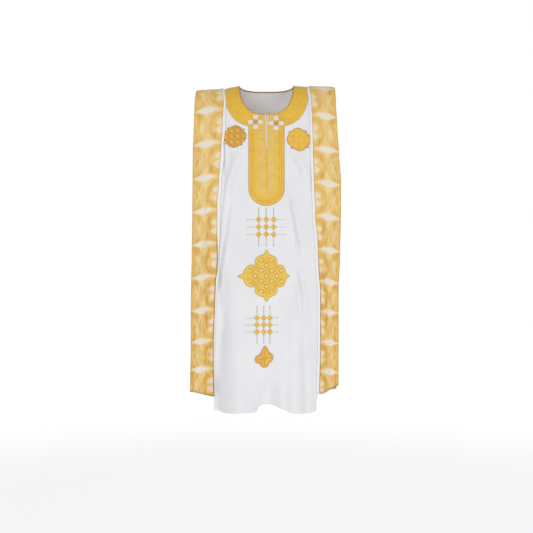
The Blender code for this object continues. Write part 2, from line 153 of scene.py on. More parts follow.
# How far the sides hang back towards the hem, and where that starts, down the cloth and from the middle
WING_SETBACK = 0.072
WING_SETBACK_START = 0.72
WING_SETBACK_LENGTH = 0.80
WING_SETBACK_INNER = 0.060
WING_SETBACK_WIDTH = 0.180
FRONT_HEM = 1.152
BACK_HEM = 1.150
# The front hem rises over the left edge to a level stretch and falls over the right edge: start, then width
HEM_RISE = 0.024
HEM_RISE_LEFT = (-0.040, 0.020)
HEM_RISE_RIGHT = (0.008, 0.095)
HEM_CORNER_RISE = 0.009
HEM_CORNER_START = 0.145
HEM_CORNER_WIDTH = 0.040
HEM_NARROWING = {"left": 0.038, "right": 0.074}
HEM_NARROWING_START = 1.03
HEM_NARROWING_LENGTH = 0.10
HEM_DEPTH = 0.018
HEM_STEP = 0.0006
HEM_STEP_WIDTH = 0.003
HEM_ROWS_SHARE = 1.3
HEM_STITCH_INSET = 0.003
HEM_PINCH = 0.0007
HEM_PINCH_WIDTH = 0.002
SHOULDER_SEAM = 0.022
SEAM_GAP = 0.0004
SEAM_UNDER_CUFF = 0.006
NECK_HALF_WIDTH = 0.097
NECK_FRONT = 0.155
NECK_BACK = 0.045
NECK_SQUARENESS = 2.8
SLIT_TOP_GAP = 0.0070
SLIT_THROAT = 0.0014
SLIT_THROAT_PATH = 0.185
SLIT_TAPER = 0.5
SLIT_END = 0.285
COTTON_WALL = 0.0011
# Columns beside the neck, and from its side to the seam
COTTON_COLUMNS = (44, 46)
SLIT_COLUMNS = 10
COLUMNS_EVEN_BY = 0.035
COTTON_ROWS = 150
HEM_ROWS = 9
ROW_CROWDING = 1.4
SLOPE_STEP = 0.0004
WELD = 0.00002
COTTON_WHITE = (0.838, 0.838, 0.852, 1.0)
COTTON_SHADE = (0.785, 0.783, 0.808, 1.0)
# Painted shade in the breadths' sharp creases: its colour, the fold depth at which it is full, and the half
# width below which a crease gets it
CREASE_SHADE = (0.748, 0.746, 0.770, 1.0)
CREASE_SHADE_DEPTH = 0.0090
SHADED_CREASE_WIDTH = 0.0067
COTTON_WEAVE = 0.00055

# Height below the shoulder line, then each wing's cuff and fold as distances from the middle
WING_ROWS = np.array((
    (0.000, 0.158, 0.252, 0.153, 0.245),
    (0.060, 0.151, 0.254, 0.158, 0.245),
    (0.135, 0.152, 0.255, 0.160, 0.248),
    (0.230, 0.159, 0.258, 0.162, 0.254),
    (0.336, 0.165, 0.259, 0.165, 0.261),
    (0.442, 0.171, 0.260, 0.169, 0.261),
    (0.583, 0.173, 0.262, 0.179, 0.258),
    (0.724, 0.179, 0.265, 0.186, 0.253),
    (0.900, 0.184, 0.269, 0.186, 0.254),
    (1.083, 0.187, 0.273, 0.183, 0.255),
))
WING_COLUMNS = ("down", "left_cuff", "left_fold", "right_cuff", "right_fold")

# Folds: x and height at the top, x and height at the end, half width, depth (below 0 for a trough), and the
# shares of the length over which the fold grows and dies away
FRONT_FOLDS = (
    (0.000, 0.96, 0.012, 1.40, 0.048, -0.056, 0.45, 0.15),
    (-0.105, 0.60, -0.100, 1.25, 0.045, 0.012, 0.45, 0.15),
    (0.105, 0.60, 0.110, 1.25, 0.042, 0.012, 0.45, 0.15),
    (-0.112, 0.20, -0.158, 0.44, 0.014, 0.006, 0.45, 0.15),
    (-0.150, 0.40, -0.166, 1.30, 0.020, -0.009, 0.45, 0.15),
    (0.072, 0.34, 0.128, 0.76, 0.012, 0.005, 0.45, 0.15),
    (0.092, 0.42, 0.122, 0.74, 0.010, -0.004, 0.45, 0.15),
    (0.066, 0.74, 0.070, 1.25, 0.016, -0.009, 0.45, 0.15),
    (-0.225, 0.30, -0.222, 1.20, 0.022, -0.005, 0.45, 0.15),
    (0.222, 0.45, 0.215, 1.20, 0.022, -0.006, 0.45, 0.15),
)
FRONT_CREASES = (
    (-0.151, 0.19, -0.147, 0.34, 0.0040, -0.0055, 0.30, 0.20),
    (-0.111, 0.215, -0.147, 0.355, 0.0058, -0.0075, 0.25, 0.20),
    (-0.141, 0.320, -0.160, 0.465, 0.0050, -0.0065, 0.25, 0.20),
    (-0.157, 0.430, -0.175, 0.690, 0.0046, -0.0050, 0.20, 0.25),
    (-0.096, 0.210, -0.137, 0.325, 0.0058, -0.0042, 0.30, 0.30),
    (-0.092, 0.26, -0.136, 0.46, 0.0110, 0.0045, 0.40, 0.40),
    (-0.119, 0.360, -0.146, 0.555, 0.0075, -0.0048, 0.40, 0.20),
    (-0.141, 0.510, -0.172, 0.735, 0.0052, -0.0078, 0.25, 0.20),
    (-0.118, 0.40, -0.150, 0.66, 0.0090, 0.0035, 0.35, 0.35),
    (-0.160, 0.58, -0.166, 0.82, 0.0065, -0.0045, 0.35, 0.35),
    (-0.141, 0.76, -0.180, 1.12, 0.0085, -0.0075, 0.35, 0.20),
    (-0.176, 0.96, -0.168, 1.30, 0.0120, -0.0100, 0.35, 0.10),
    (0.083, 0.225, 0.143, 0.355, 0.0060, -0.0050, 0.30, 0.40),
    (0.095, 0.22, 0.150, 0.33, 0.0080, 0.0028, 0.35, 0.40),
    (0.071, 0.355, 0.125, 0.615, 0.0052, -0.0070, 0.25, 0.25),
    (0.083, 0.37, 0.137, 0.62, 0.0080, 0.0030, 0.35, 0.35),
    (0.102, 0.62, 0.133, 0.80, 0.0050, -0.0068, 0.25, 0.35),
    (0.094, 0.66, 0.122, 0.84, 0.0050, -0.0042, 0.30, 0.40),
    (0.116, 0.64, 0.146, 0.80, 0.0070, 0.0030, 0.35, 0.40),
    (0.055, 1.03, 0.062, 1.12, 0.0050, -0.0030, 0.40, 0.40),
    (0.128, 0.80, 0.140, 1.30, 0.0130, -0.0060, 0.40, 0.10),
    (-0.062, 0.70, -0.070, 1.30, 0.0220, -0.0055, 0.50, 0.10),
    (0.050, 0.78, 0.052, 1.30, 0.0160, 0.0040, 0.45, 0.10),
    (-0.036, 0.46, -0.066, 0.63, 0.0060, 0.0020, 0.35, 0.50),
    (0.041, 0.45, 0.062, 0.58, 0.0055, -0.0018, 0.30, 0.50),
    (0.128, 0.21, 0.116, 0.33, 0.0060, -0.0024, 0.40, 0.40),
    (0.150, 0.14, 0.137, 0.29, 0.0070, 0.0028, 0.40, 0.40),
    (-0.146, 0.06, -0.140, 0.20, 0.0070, 0.0026, 0.40, 0.40),
)
BACK_FOLDS = (
    (0.000, 0.12, 0.004, 1.25, 0.070, -0.020, 0.45, 0.15),
    (-0.100, 0.30, -0.118, 1.25, 0.030, 0.012, 0.45, 0.15),
    (0.094, 0.36, 0.122, 1.25, 0.034, 0.010, 0.45, 0.15),
    (-0.050, 0.62, -0.046, 1.25, 0.018, 0.007, 0.45, 0.15),
    (0.160, 0.50, 0.152, 1.25, 0.020, -0.008, 0.45, 0.15),
    (-0.218, 0.40, -0.228, 1.20, 0.022, -0.006, 0.45, 0.15),
    (0.230, 0.30, 0.220, 1.20, 0.020, -0.005, 0.45, 0.15),
)
BACK_CREASES = (
    (-0.132, 0.10, -0.070, 0.52, 0.0090, 0.0056, 0.30, 0.50),
    (0.128, 0.12, 0.082, 0.46, 0.0080, 0.0050, 0.30, 0.50),
    (-0.070, 0.14, -0.030, 0.38, 0.0070, -0.0034, 0.35, 0.50),
    (0.060, 0.13, 0.036, 0.33, 0.0065, -0.0031, 0.35, 0.50),
    (-0.150, 0.26, -0.142, 1.30, 0.0110, -0.0078, 0.40, 0.10),
    (0.062, 0.40, 0.080, 1.30, 0.0110, -0.0073, 0.40, 0.10),
    (0.020, 0.55, 0.034, 1.30, 0.0130, 0.0067, 0.45, 0.10),
    (-0.078, 0.48, -0.082, 1.30, 0.0090, -0.0050, 0.45, 0.10),
    (0.128, 0.62, 0.136, 1.30, 0.0100, 0.0048, 0.45, 0.10),
    (-0.016, 0.70, -0.020, 1.30, 0.0085, -0.0042, 0.40, 0.10),
    (0.170, 0.20, 0.166, 0.50, 0.0080, 0.0039, 0.40, 0.45),
)
# Slow waves over the whole robe: turns a metre across and along, start, and depth
WAVE_ROWS = (
    (3.1, 1.7, 0.4, 0.0007), (-4.6, 2.9, 1.9, 0.0005), (7.9, -1.3, 3.3, 0.0003), (9.7, 5.1, 5.0, 0.0002),
)
WAVE_START = 0.10


def smooth(share):
    """From 0 to 1 with level ends."""
    share = np.clip(share, 0.0, 1.0)
    return share * share * (3 - 2 * share)


def wing_width(name, down):
    """A wing's cuff or fold, at a height below the shoulder line."""
    column = WING_COLUMNS.index(name)
    above = np.clip(np.searchsorted(WING_ROWS[:, 0], down) - 1, 0, len(WING_ROWS) - 2)
    share = smooth((down - WING_ROWS[above, 0]) / (WING_ROWS[above + 1, 0] - WING_ROWS[above, 0]))
    return WING_ROWS[above, column] + (WING_ROWS[above + 1, column] - WING_ROWS[above, column]) * share


def down_at(path):
    """Height below the shoulder line of cloth that lies flat there and turns down over the shoulder."""
    return np.hypot(path, SHOULDER_BEND) - SHOULDER_BEND


def path_at(down):
    return np.sqrt((down + SHOULDER_BEND) ** 2 - SHOULDER_BEND**2)


def seam_x(side, path):
    """Where the white breadths end under a wing's cuff, from the middle. They narrow to the hem."""
    down = down_at(path)
    narrowing = smooth((down - HEM_NARROWING_START) / HEM_NARROWING_LENGTH)
    return (wing_width(side + "_cuff", down) + SEAM_UNDER_CUFF) * (1 - HEM_NARROWING[side] * narrowing)


def fold_depth(folds, x, down):
    """How far the folds bring the cloth out from its plain hang."""
    total = np.zeros(np.broadcast(x, down).shape)
    for x_top, down_top, x_end, down_end, half_width, depth, grow, die in folds:
        along = (down - down_top) / (down_end - down_top)
        middle = x_top + (x_end - x_top) * np.clip(along, 0.0, 1.0)
        fade = smooth(along / grow) * smooth((1.0 - along) / die)
        total += depth * np.exp(-(((x - middle) / half_width) ** 2)) * fade
    return total


def shoulder_lift(x, path):
    """How much higher the cloth lies than the shoulder's plain slope. It fades out down the cloth."""
    x = np.clip(x, SHOULDER_LIFTS[0, 0], SHOULDER_LIFTS[-1, 0])
    near = np.clip(np.searchsorted(SHOULDER_LIFTS[:, 0], x) - 1, 0, len(SHOULDER_LIFTS) - 2)
    start, low = SHOULDER_LIFTS[near, 0], SHOULDER_LIFTS[near, 1]
    end, high = SHOULDER_LIFTS[near + 1, 0], SHOULDER_LIFTS[near + 1, 1]
    lift = low + (high - low) * smooth((x - start) / (end - start))
    return lift * np.exp(-((path / SHOULDER_LIFT_REACH) ** 2))


def hung(x, path):
    """Points of the cloth's middle at x and path."""
    x, path = np.broadcast_arrays(np.asarray(x, float), np.asarray(path, float))
    front = path < 0
    down = down_at(path)
    outward = np.minimum(np.abs(x) / WING_HALF_WIDTH, 1.0)
    middle = np.where(front, MIDDLE_DEPTH[0], MIDDLE_DEPTH[1])
    wing = np.where(front, WING_DEPTH[0], WING_DEPTH[1])
    depth = middle - (middle - wing) * outward**BODY_ROUNDNESS
    out = depth * np.sqrt(1 - np.exp(-down * 2 * SHOULDER_BEND / depth**2))
    front_depth = fold_depth(FRONT_FOLDS + FRONT_CREASES, x, down)
    out += np.where(front, front_depth, fold_depth(BACK_FOLDS + BACK_CREASES, x, down))
    for turns_across, turns_along, start, wave_depth in WAVE_ROWS:
        turns = turns_across * x + turns_along * path
        out += wave_depth * np.sin(2 * np.pi * turns + start) * smooth(down / WAVE_START)
    sideways = smooth((np.abs(x) - WING_SETBACK_INNER) / WING_SETBACK_WIDTH)
    out -= WING_SETBACK * sideways * smooth((down - WING_SETBACK_START) / WING_SETBACK_LENGTH)
    height = shoulder_lift(x, path) - SHOULDER_DROP * outward**2 - down
    return np.stack([x, np.copysign(out, path), height], axis=-1)


def outward_at(x, path):
    """Unit directions that point out of the robe."""
    along_x = hung(x + SLOPE_STEP, path) - hung(x - SLOPE_STEP, path)
    along_path = hung(x, path + SLOPE_STEP) - hung(x, path - SLOPE_STEP)
    normal = np.cross(along_x, along_path)
    return normal / np.linalg.norm(normal, axis=-1, keepdims=True)


def lifted(x, path, rise):
    """Points that lie rise outside the cloth's middle."""
    return hung(x, path) + outward_at(x, path) * np.asarray(rise)[..., None]


def slit_half_gap(path):
    """Half the slit's width, wide at the neck, narrow down the breast and closed at its end."""
    throat = smooth((path - NECK_FRONT) / (SLIT_THROAT_PATH - NECK_FRONT))
    top = SLIT_TOP_GAP + (SLIT_THROAT - SLIT_TOP_GAP) * throat
    taper = 1 - SLIT_TAPER * smooth((path - SLIT_THROAT_PATH) / (SLIT_END - SLIT_THROAT_PATH))
    return np.where(path < SLIT_END, top * taper / 2, 0.0)


def laid(name, patches, look, wall=0.0, ways="cloth"):
    """A piece that lies on the robe. A patch is equal tables of x, path and rise, of its UV map's u and v,
    and of its painted shade, which says how far its colour turns to a painted shade in creases, along hems
    and on threads that lie the other way."""
    points, faces, places, painted_shades, count = [], [], [], [], 0
    for x, path, rise, u, v, painted_shade in patches:
        x, path, rise, u, v, painted_shade = np.broadcast_arrays(x, path, rise, u, v, painted_shade)
        number = count + np.arange(x.size).reshape(x.shape)
        count += x.size
        corners = (number[:-1, :-1], number[1:, :-1], number[1:, 1:], number[:-1, 1:])
        points.append(lifted(x, path, rise).reshape(-1, 3))
        faces.append(np.stack(corners, axis=-1).reshape(-1, 4))
        places.append(np.stack([u, v], axis=-1).reshape(-1, 2))
        painted_shades.append(painted_shade.ravel())
    mesh = bpy.data.meshes.new(name)
    mesh.from_pydata(np.concatenate(points).tolist(), [], np.concatenate(faces).tolist())
    corner_points = np.empty(len(mesh.loops), np.int32)
    mesh.loops.foreach_get("vertex_index", corner_points)
    mesh.uv_layers.new(name=ways).data.foreach_set("uv", np.concatenate(places)[corner_points].ravel())
    painted_shade_layer = mesh.attributes.new("painted_shade", "FLOAT", "CORNER")
    painted_shade_layer.data.foreach_set("value", np.concatenate(painted_shades)[corner_points].astype(np.float32))
    shape = bmesh.new()
    shape.from_mesh(mesh)
    bmesh.ops.remove_doubles(shape, verts=shape.verts, dist=WELD)
    bmesh.ops.recalc_face_normals(shape, faces=shape.faces)
    shape.to_mesh(mesh)
    shape.free()
    mesh.materials.append(look)
    mesh.shade_smooth()
    piece = bpy.data.objects.new(name, mesh)
    bpy.context.scene.collection.objects.link(piece)
    if wall:
        thickness = piece.modifiers.new("wall", "SOLIDIFY")
        thickness.thickness = wall
        thickness.offset = 0.0
    return piece


def hem_down(front, x):
    """The white hem's height below the shoulder line, higher at its corners and between the legs in front."""
    corner = HEM_CORNER_RISE * smooth((np.abs(x) - HEM_CORNER_START) / HEM_CORNER_WIDTH)
    if not front:
        return BACK_HEM - corner
    left, right = [smooth((x - start) / width) for start, width in (HEM_RISE_LEFT, HEM_RISE_RIGHT)]
    return FRONT_HEM - corner - HEM_RISE * left * (1 - right)


def fixed(piece, solid=None):
    """Makes a piece part of the robe, in place of the plain solid it stands for."""
    if solid:
        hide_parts(solid)
    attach(piece, "root")
    return piece


def breadth(front):
    """The patches of a white breadth, a half at a time, cut round the neck and up the slit, with painted
    shade in its sharp creases. Its columns crowd at the neck's side, and even out below it."""
    neck_length = NECK_FRONT if front else NECK_BACK
    seam_path = SHOULDER_SEAM + SEAM_GAP if front else SEAM_GAP - SHOULDER_SEAM
    patches = []
    for side, sign in (("left", -1), ("right", 1)):
        neck_columns, shoulder_columns = COTTON_COLUMNS
        across = np.sin(np.pi / 2 * np.arange(neck_columns) / neck_columns)
        straight = NECK_HALF_WIDTH * np.append(across, np.ones(shoulder_columns + 1))[:, None]
        outward = np.append(np.zeros(neck_columns), np.linspace(0, 1, shoulder_columns + 1))[:, None]
        kept = straight[SLIT_COLUMNS]
        number = np.arange(len(straight))[:, None]
        evened = np.maximum(number - SLIT_COLUMNS, 0) / (number[-1] - SLIT_COLUMNS)
        neck_path = neck_length * (1 - across**NECK_SQUARENESS) ** (1 / NECK_SQUARENESS)
        top = np.append(neck_path, np.full(shoulder_columns + 1, seam_path))[:, None]
        hem_x = np.minimum(straight, kept) + evened * (seam_x(side, FRONT_HEM) - kept)
        bottom = path_at(hem_down(front, sign * hem_x))
        hem_top = bottom - HEM_DEPTH * HEM_ROWS_SHARE
        spread = np.linspace(0, 1, COTTON_ROWS + 1)[:-1] ** ROW_CROWDING
        hem_spread = np.linspace(0, 1, HEM_ROWS)
        path = np.hstack([top + (hem_top - top) * spread, hem_top + (bottom - hem_top) * hem_spread])
        edge = seam_x(side, np.abs(path))
        x = straight + outward * (edge - NECK_HALF_WIDTH)
        even_x = np.minimum(straight, kept) + evened * (edge - kept)
        x = x + (even_x - x) * smooth((path - neck_length) / COLUMNS_EVEN_BY)
        x = np.maximum(x, slit_half_gap(path) if front else 0.0)
        up = bottom - path
        rise = HEM_STEP * smooth((HEM_DEPTH - up) / HEM_STEP_WIDTH)
        rise -= HEM_PINCH * np.exp(-(((up - HEM_DEPTH + HEM_STITCH_INSET) / HEM_PINCH_WIDTH) ** 2))
        path = -path if front else path
        # The sharp creases are darkened with painted shade, darkest where they are deepest
        shaded_creases = [row for row in (FRONT_CREASES if front else BACK_CREASES) if row[4] < SHADED_CREASE_WIDTH]
        shade = smooth(-fold_depth(shaded_creases, sign * x, down_at(path)) / CREASE_SHADE_DEPTH)
        patches.append((sign * x, path, rise, sign * x, path, shade))
    return patches


class Amount:
    """A number that varies over a surface. Arithmetic on it adds Math nodes to its tree."""

    def __init__(self, socket):
        self.socket = socket
        self.tree = socket.id_data

    def calculate(self, operation, *others):
        inputs = dict(enumerate((self, *others)))
        return Amount(node(self.tree, "ShaderNodeMath", inputs, operation=operation).outputs[0])

    def __add__(self, other):
        return self.calculate("ADD", other)

    def __sub__(self, other):
        return self.calculate("SUBTRACT", other)

    def __mul__(self, other):
        return self.calculate("MULTIPLY", other)

    def __pow__(self, other):
        return self.calculate("POWER", other)

    def __abs__(self):
        return self.calculate("ABSOLUTE")

    def fade(self, start, end):
        """0 up to start and 1 from end on, with a soft run between."""
        inputs = {"Value": self, "From Min": start, "From Max": end}
        made = node(self.tree, "ShaderNodeMapRange", inputs, interpolation_type="SMOOTHSTEP")
        return Amount(made.outputs[0])

    def wave(self, length):
        """A wave between -1 and 1."""
        return (self * (2 * np.pi / length)).calculate("SINE")

    def mixed(self, first, second):
        """The first colour at 0 and the second at 1."""
        made = node(self.tree, "ShaderNodeMix", {0: self, 6: first, 7: second}, data_type="RGBA")
        return made.outputs[2]


def finish(name, **shader_values):
    """A new material, its tree and its shader, with the values that are the same all over."""
    look = bpy.data.materials.new(name)
    look.use_nodes = True
    shader = look.node_tree.nodes["Principled BSDF"]
    for value_name, value in shader_values.items():
        shader.inputs[value_name.replace("_", " ")].default_value = value
    return look, look.node_tree, shader


def uv_of(tree, ways):
    """A piece's UV map, as its socket and as u and v."""
    place = node(tree, "ShaderNodeUVMap", uv_map=ways).outputs[0]
    parts = node(tree, "ShaderNodeSeparateXYZ", {0: place})
    return place, Amount(parts.outputs[0]), Amount(parts.outputs[1])


def speckle(tree, place, scale, detail=2.0, stretch=(1, 1, 1)):
    """A soft random amount round 0.5."""
    moved = node(tree, "ShaderNodeMapping", {0: place, 3: stretch})
    made = node(tree, "ShaderNodeTexNoise", {"Vector": moved.outputs[0], "Scale": scale, "Detail": detail})
    return Amount(made.outputs[0])


def bumped(tree, shader, height, distance):
    relief = node(tree, "ShaderNodeBump", {"Height": height, "Distance": distance, "Strength": 1.0})
    tree.links.new(relief.outputs[0], shader.inputs["Normal"])


cotton, tree, shader = finish("white_cotton", Sheen_Weight=0.12, Sheen_Roughness=0.5, Specular_IOR_Level=0.25)
place, across, along = uv_of(tree, "cloth")
threads = across.wave(COTTON_WEAVE) * along.wave(COTTON_WEAVE)
slubs = speckle(tree, place, 60.0, stretch=(9, 1, 1)) + speckle(tree, place, 55.0, stretch=(1, 9, 1))
clouds = speckle(tree, place, 9.0, 3.0)
crumple = speckle(tree, place, 26.0, 3.0) + speckle(tree, place, 70.0, 2.0) * 0.35
tone = (slubs * 0.25 + clouds * 0.75).fade(0.35, 0.95)
# Painted shade darkens the cloth in its sharp creases, as the breadths give it
painted_crease_shade = Amount(node(tree, "ShaderNodeAttribute", attribute_name="painted_shade").outputs["Fac"])
whites = painted_crease_shade.mixed(tone.mixed(COTTON_WHITE, COTTON_SHADE), CREASE_SHADE)
tree.links.new(whites, shader.inputs["Base Color"])
tree.links.new((slubs * 0.06 + 0.74).socket, shader.inputs["Roughness"])
bumped(tree, shader, threads * 0.05 + slubs * 0.10 + crumple, 0.0007)

front_panel = fixed(laid("front_breadth", breadth(True), cotton, COTTON_WALL), "front_panel")

# White back breadth: the same cotton in one width, higher at the neck. It reaches over the shoulders to the
# seam in front, and falls from the shoulder blades in long folds to the same turned hem.
back_panel = fixed(laid("back_breadth", breadth(False), cotton, COTTON_WALL), "back_panel")

# Seams and hems of the white breadths: single lines of running stitch in white thread, one above each turned
# hem and one on each side of the shoulder seams, all 3 mm a stitch and sunk a little into the cloth.
SHOULDER_STITCH_SETBACK = 0.0022
SHOULDER_STITCH_INNER = 0.151
SEAM_INSET = 0.006
SEAM_POINTS = 12
HEM_POINTS = 160
# Pitch, length and thickness of a stitch
HEM_STITCH = (0.0030, 0.0021, 0.00034)
STITCH_FACETS = (6, 4)
THREAD_WHITE = (0.80, 0.80, 0.83, 1.0)


def tree_of(name, inputs):
    """A new Geometry Nodes tree with named inputs, and the sockets that give them."""
    tree = bpy.data.node_groups.new(name, "GeometryNodeTree")
    for title, kind in (("Geometry", "Geometry"), *inputs):
        tree.interface.new_socket(title, in_out="INPUT", socket_type="NodeSocket" + kind)
    tree.interface.new_socket("Geometry", in_out="OUTPUT", socket_type="NodeSocketGeometry")
    return tree, tree.nodes.new("NodeGroupInput").outputs


def named(tree, name, kind="FLOAT"):
    return node(tree, "GeometryNodeInputNamedAttribute", {"Name": name}, data_type=kind).outputs[0]


def ended(tree, geometry, look):
    """Ends a tree in plain geometry with its material."""
    plain = node(tree, "GeometryNodeRealizeInstances", {0: geometry})
    shaded = node(tree, "GeometryNodeSetShadeSmooth", {0: plain.outputs[0]})
    dressed = node(tree, "GeometryNodeSetMaterial", {0: shaded.outputs[0], "Material": look})
    node(tree, "NodeGroupOutput", {0: dressed.outputs[0]})


def guides(name, lines, rise):
    """An object of edges along lines on the robe. A line is (x, path, half width), and may be closed."""
    points, edges, outward, widths, count = [], [], [], [], 0
    for x, path, half_width in lines:
        x, path, half_width = np.broadcast_arrays(np.atleast_1d(x), np.atleast_1d(path), half_width)
        closed = len(x) > 3 and np.hypot(x[0] - x[-1], path[0] - path[-1]) < WELD
        kept = len(x) - closed
        number = count + np.arange(kept)
        count += kept
        edges += list(zip(number, number[1:])) + ([(number[-1], number[0])] if closed else [])
        points.append(lifted(x, path, np.full(x.shape, rise))[:kept])
        outward.append(outward_at(x, path)[:kept])
        widths.append(half_width[:kept])
    mesh = bpy.data.meshes.new(name)
    mesh.from_pydata(np.concatenate(points).tolist(), edges, [])
    directions = mesh.attributes.new("outward", "FLOAT_VECTOR", "POINT").data
    directions.foreach_set("vector", np.concatenate(outward).ravel())
    mesh.attributes.new("half_width", "FLOAT", "POINT").data.foreach_set("value", np.concatenate(widths))
    piece = bpy.data.objects.new(name, mesh)
    bpy.context.scene.collection.objects.link(piece)
    return piece


def grown(piece, tree, **sizes):
    """Turns guides into the plain mesh that a tree makes along them."""
    modifier = piece.modifiers.new("grow", "NODES")
    modifier.node_group = tree
    for item in tree.interface.items_tree:
        if item.in_out == "INPUT" and item.name in sizes:
            modifier[item.identifier] = sizes[item.name]
    evaluated = piece.evaluated_get(bpy.context.evaluated_depsgraph_get())
    mesh = bpy.data.meshes.new_from_object(evaluated)
    mesh.name = piece.name
    piece.modifiers.clear()
    piece.data = mesh
    return piece


running_stitch, given = tree_of("running_stitch", (
    ("Pitch", "Float"), ("Length", "Float"), ("Thickness", "Float"), ("Material", "Material")))
tree = running_stitch
curve = node(tree, "GeometryNodeMeshToCurve", {0: given["Geometry"]})
spaced = node(tree, "GeometryNodeResampleCurve", {
    0: curve.outputs[0], "Length": given["Pitch"]}, mode="LENGTH")
run = node(tree, "GeometryNodeInputTangent").outputs[0]
turn = node(tree, "FunctionNodeAxesToRotation", {0: named(tree, "outward", "FLOAT_VECTOR"), 1: run})
bead = node(tree, "GeometryNodeMeshUVSphere", {
    "Segments": STITCH_FACETS[0], "Rings": STITCH_FACETS[1], "Radius": 0.5})
size = node(tree, "ShaderNodeCombineXYZ", {0: given["Length"], 1: given["Thickness"], 2: given["Thickness"]})
placed = node(tree, "GeometryNodeInstanceOnPoints", {
    0: spaced.outputs[0], "Instance": bead.outputs[0], "Rotation": turn.outputs[0], "Scale": size.outputs[0]})
ended(tree, placed.outputs[0], given["Material"])

sewing, tree, shader = finish(
    "white_sewing_thread", Base_Color=THREAD_WHITE, Roughness=0.55, Sheen_Weight=0.15)
coordinates = node(tree, "ShaderNodeTexCoord").outputs["Object"]
bumped(tree, shader, speckle(tree, coordinates, 2500.0), 0.0001)


def stitched(name, lines, look, slot, rise, pitch, length, thickness):
    """Running stitches along lines on the robe."""
    sizes = {"Pitch": pitch, "Length": length, "Thickness": thickness}
    return fixed(grown(guides(name, lines, rise), running_stitch, Material=look, **sizes))


hem_lines = []
for front in (True, False):
    half = seam_x("right", FRONT_HEM) - SEAM_INSET
    x = np.linspace(-half, half, HEM_POINTS)
    path = path_at(hem_down(front, x)) - HEM_DEPTH + HEM_STITCH_INSET
    hem_lines.append((x, -path if front else path, 0.0))
for side, sign in (("left", -1), ("right", 1)):
    for step in (-SHOULDER_STITCH_SETBACK, SHOULDER_STITCH_SETBACK):
        x = sign * np.linspace(SHOULDER_STITCH_INNER, seam_x(side, SHOULDER_SEAM), SEAM_POINTS)
        hem_lines.append((x, step - SHOULDER_SEAM, 0.0))
stitched("white_seam_stitches", hem_lines, sewing, "white_cotton", COTTON_WALL / 2, *HEM_STITCH)

# Brocade wings: the wide sleeve cloths, folded up onto the shoulders. Each is one strip of gold and cream
# brocade that runs from the front hem over the shoulder to the back hem, doubled back at its outer edge.
# Heights of the hems below the shoulder line at the cuff and at the fold, in front and then behind
WING_HEMS = (
    {"left": (1.091, 1.070), "right": (1.082, 1.042)},
    {"left": (1.096, 1.072), "right": (1.094, 1.070)},
)
HEM_SLANT_START = 0.195
HEM_SLANT_WIDTH = 0.065
FOLD_RISE = 0.0085
CUFF_RISE = 0.0055
BROCADE_WALL = 0.0012
WING_ROWS_ALONG = 460
WING_MIDDLE_X = 0.220
# Facets across the under layer, round the turn at the fold, and across the top layer
LAYER_FACETS = (12, 8, 30)
FOLD_SETBACK = 0.001
SHOULDER_CROWDING = 0.45
WING_HEM_DEPTH = 0.0085
WING_HEM_STEP = 0.0005
WING_HEM_STEP_WIDTH = 0.002
WING_HEM_SHADE = 0.0120
# Slow swells of the top layer: turns a metre along the wing, start, and depth
SWELL_ROWS = ((5.3, 0.6, 0.0009), (8.7, 2.2, 0.0006), (13.1, 4.4, 0.0004))
SWELL_ROUNDNESS = 0.7
# Where the pale eyes of the pattern lie along each wing, from the front hem up to the shoulder
EYE_PATHS = {
    "left": (-1.046, -0.948, -0.837, -0.721, -0.605, -0.488, -0.372, -0.251, -0.128, 0.003),
    "right": (-1.056, -0.952, -0.845, -0.739, -0.627, -0.510, -0.392, -0.273, -0.150, -0.033),
}
PATTERN_LENGTH = 0.117
PATTERN_REPEATS_BEHIND = 11
# How far across the pattern the turn at the fold reaches, and the under layer
TURN_ACROSS = 0.06
UNDER_ACROSS = 0.85
STRIP_WIDTH = 0.095
BROCADE_WEAVE = 0.0011
# Creases of the top layer: side, x and height at the top, x and height at the end, half width, and depth
WING_CREASES = (
    ("left", -0.182, 0.30, -0.226, 0.46, 0.0060, -0.0048),
    ("left", -0.186, 0.34, -0.214, 0.44, 0.0070, 0.0029),
    ("left", -0.200, 0.47, -0.236, 0.60, 0.0060, -0.0032),
    ("left", -0.194, 0.52, -0.206, 0.66, 0.0070, 0.0032),
    ("left", -0.190, 0.84, -0.208, 0.99, 0.0065, -0.0054),
    ("left", -0.228, 0.84, -0.246, 1.04, 0.0080, 0.0032),
    ("left", -0.196, 0.99, -0.204, 1.12, 0.0070, -0.0048),
    ("right", 0.168, 0.42, 0.199, 0.62, 0.0060, -0.0042),
    ("right", 0.176, 0.56, 0.217, 0.74, 0.0065, -0.0054),
    ("right", 0.196, 0.56, 0.222, 0.70, 0.0070, 0.0032),
    ("right", 0.234, 0.74, 0.240, 0.92, 0.0070, -0.0045),
    ("right", 0.216, 0.68, 0.219, 0.86, 0.0080, -0.0035),
    ("right", 0.234, 0.92, 0.214, 1.08, 0.0065, -0.0042),
)
CREASE_GROWTH = 0.35
GROUND_LIGHT = (0.915, 0.690, 0.262, 1.0)
GROUND_MIDDLE = (0.825, 0.525, 0.125, 1.0)
# The deep ground is the pattern's own dark gold, and also painted shade at the fold edge and in streaks over
# the lower wing
GROUND_DEEP = (0.600, 0.300, 0.045, 1.0)
# Painted shadow along the cuff edge and painted shade along the hems
EDGE_SHADOW_BROWN = (0.400, 0.190, 0.035, 1.0)
CREAM = (0.910, 0.760, 0.460, 1.0)
PALE_CREAM = (0.890, 0.790, 0.610, 1.0)
EYE_WHITE = (0.850, 0.800, 0.740, 1.0)
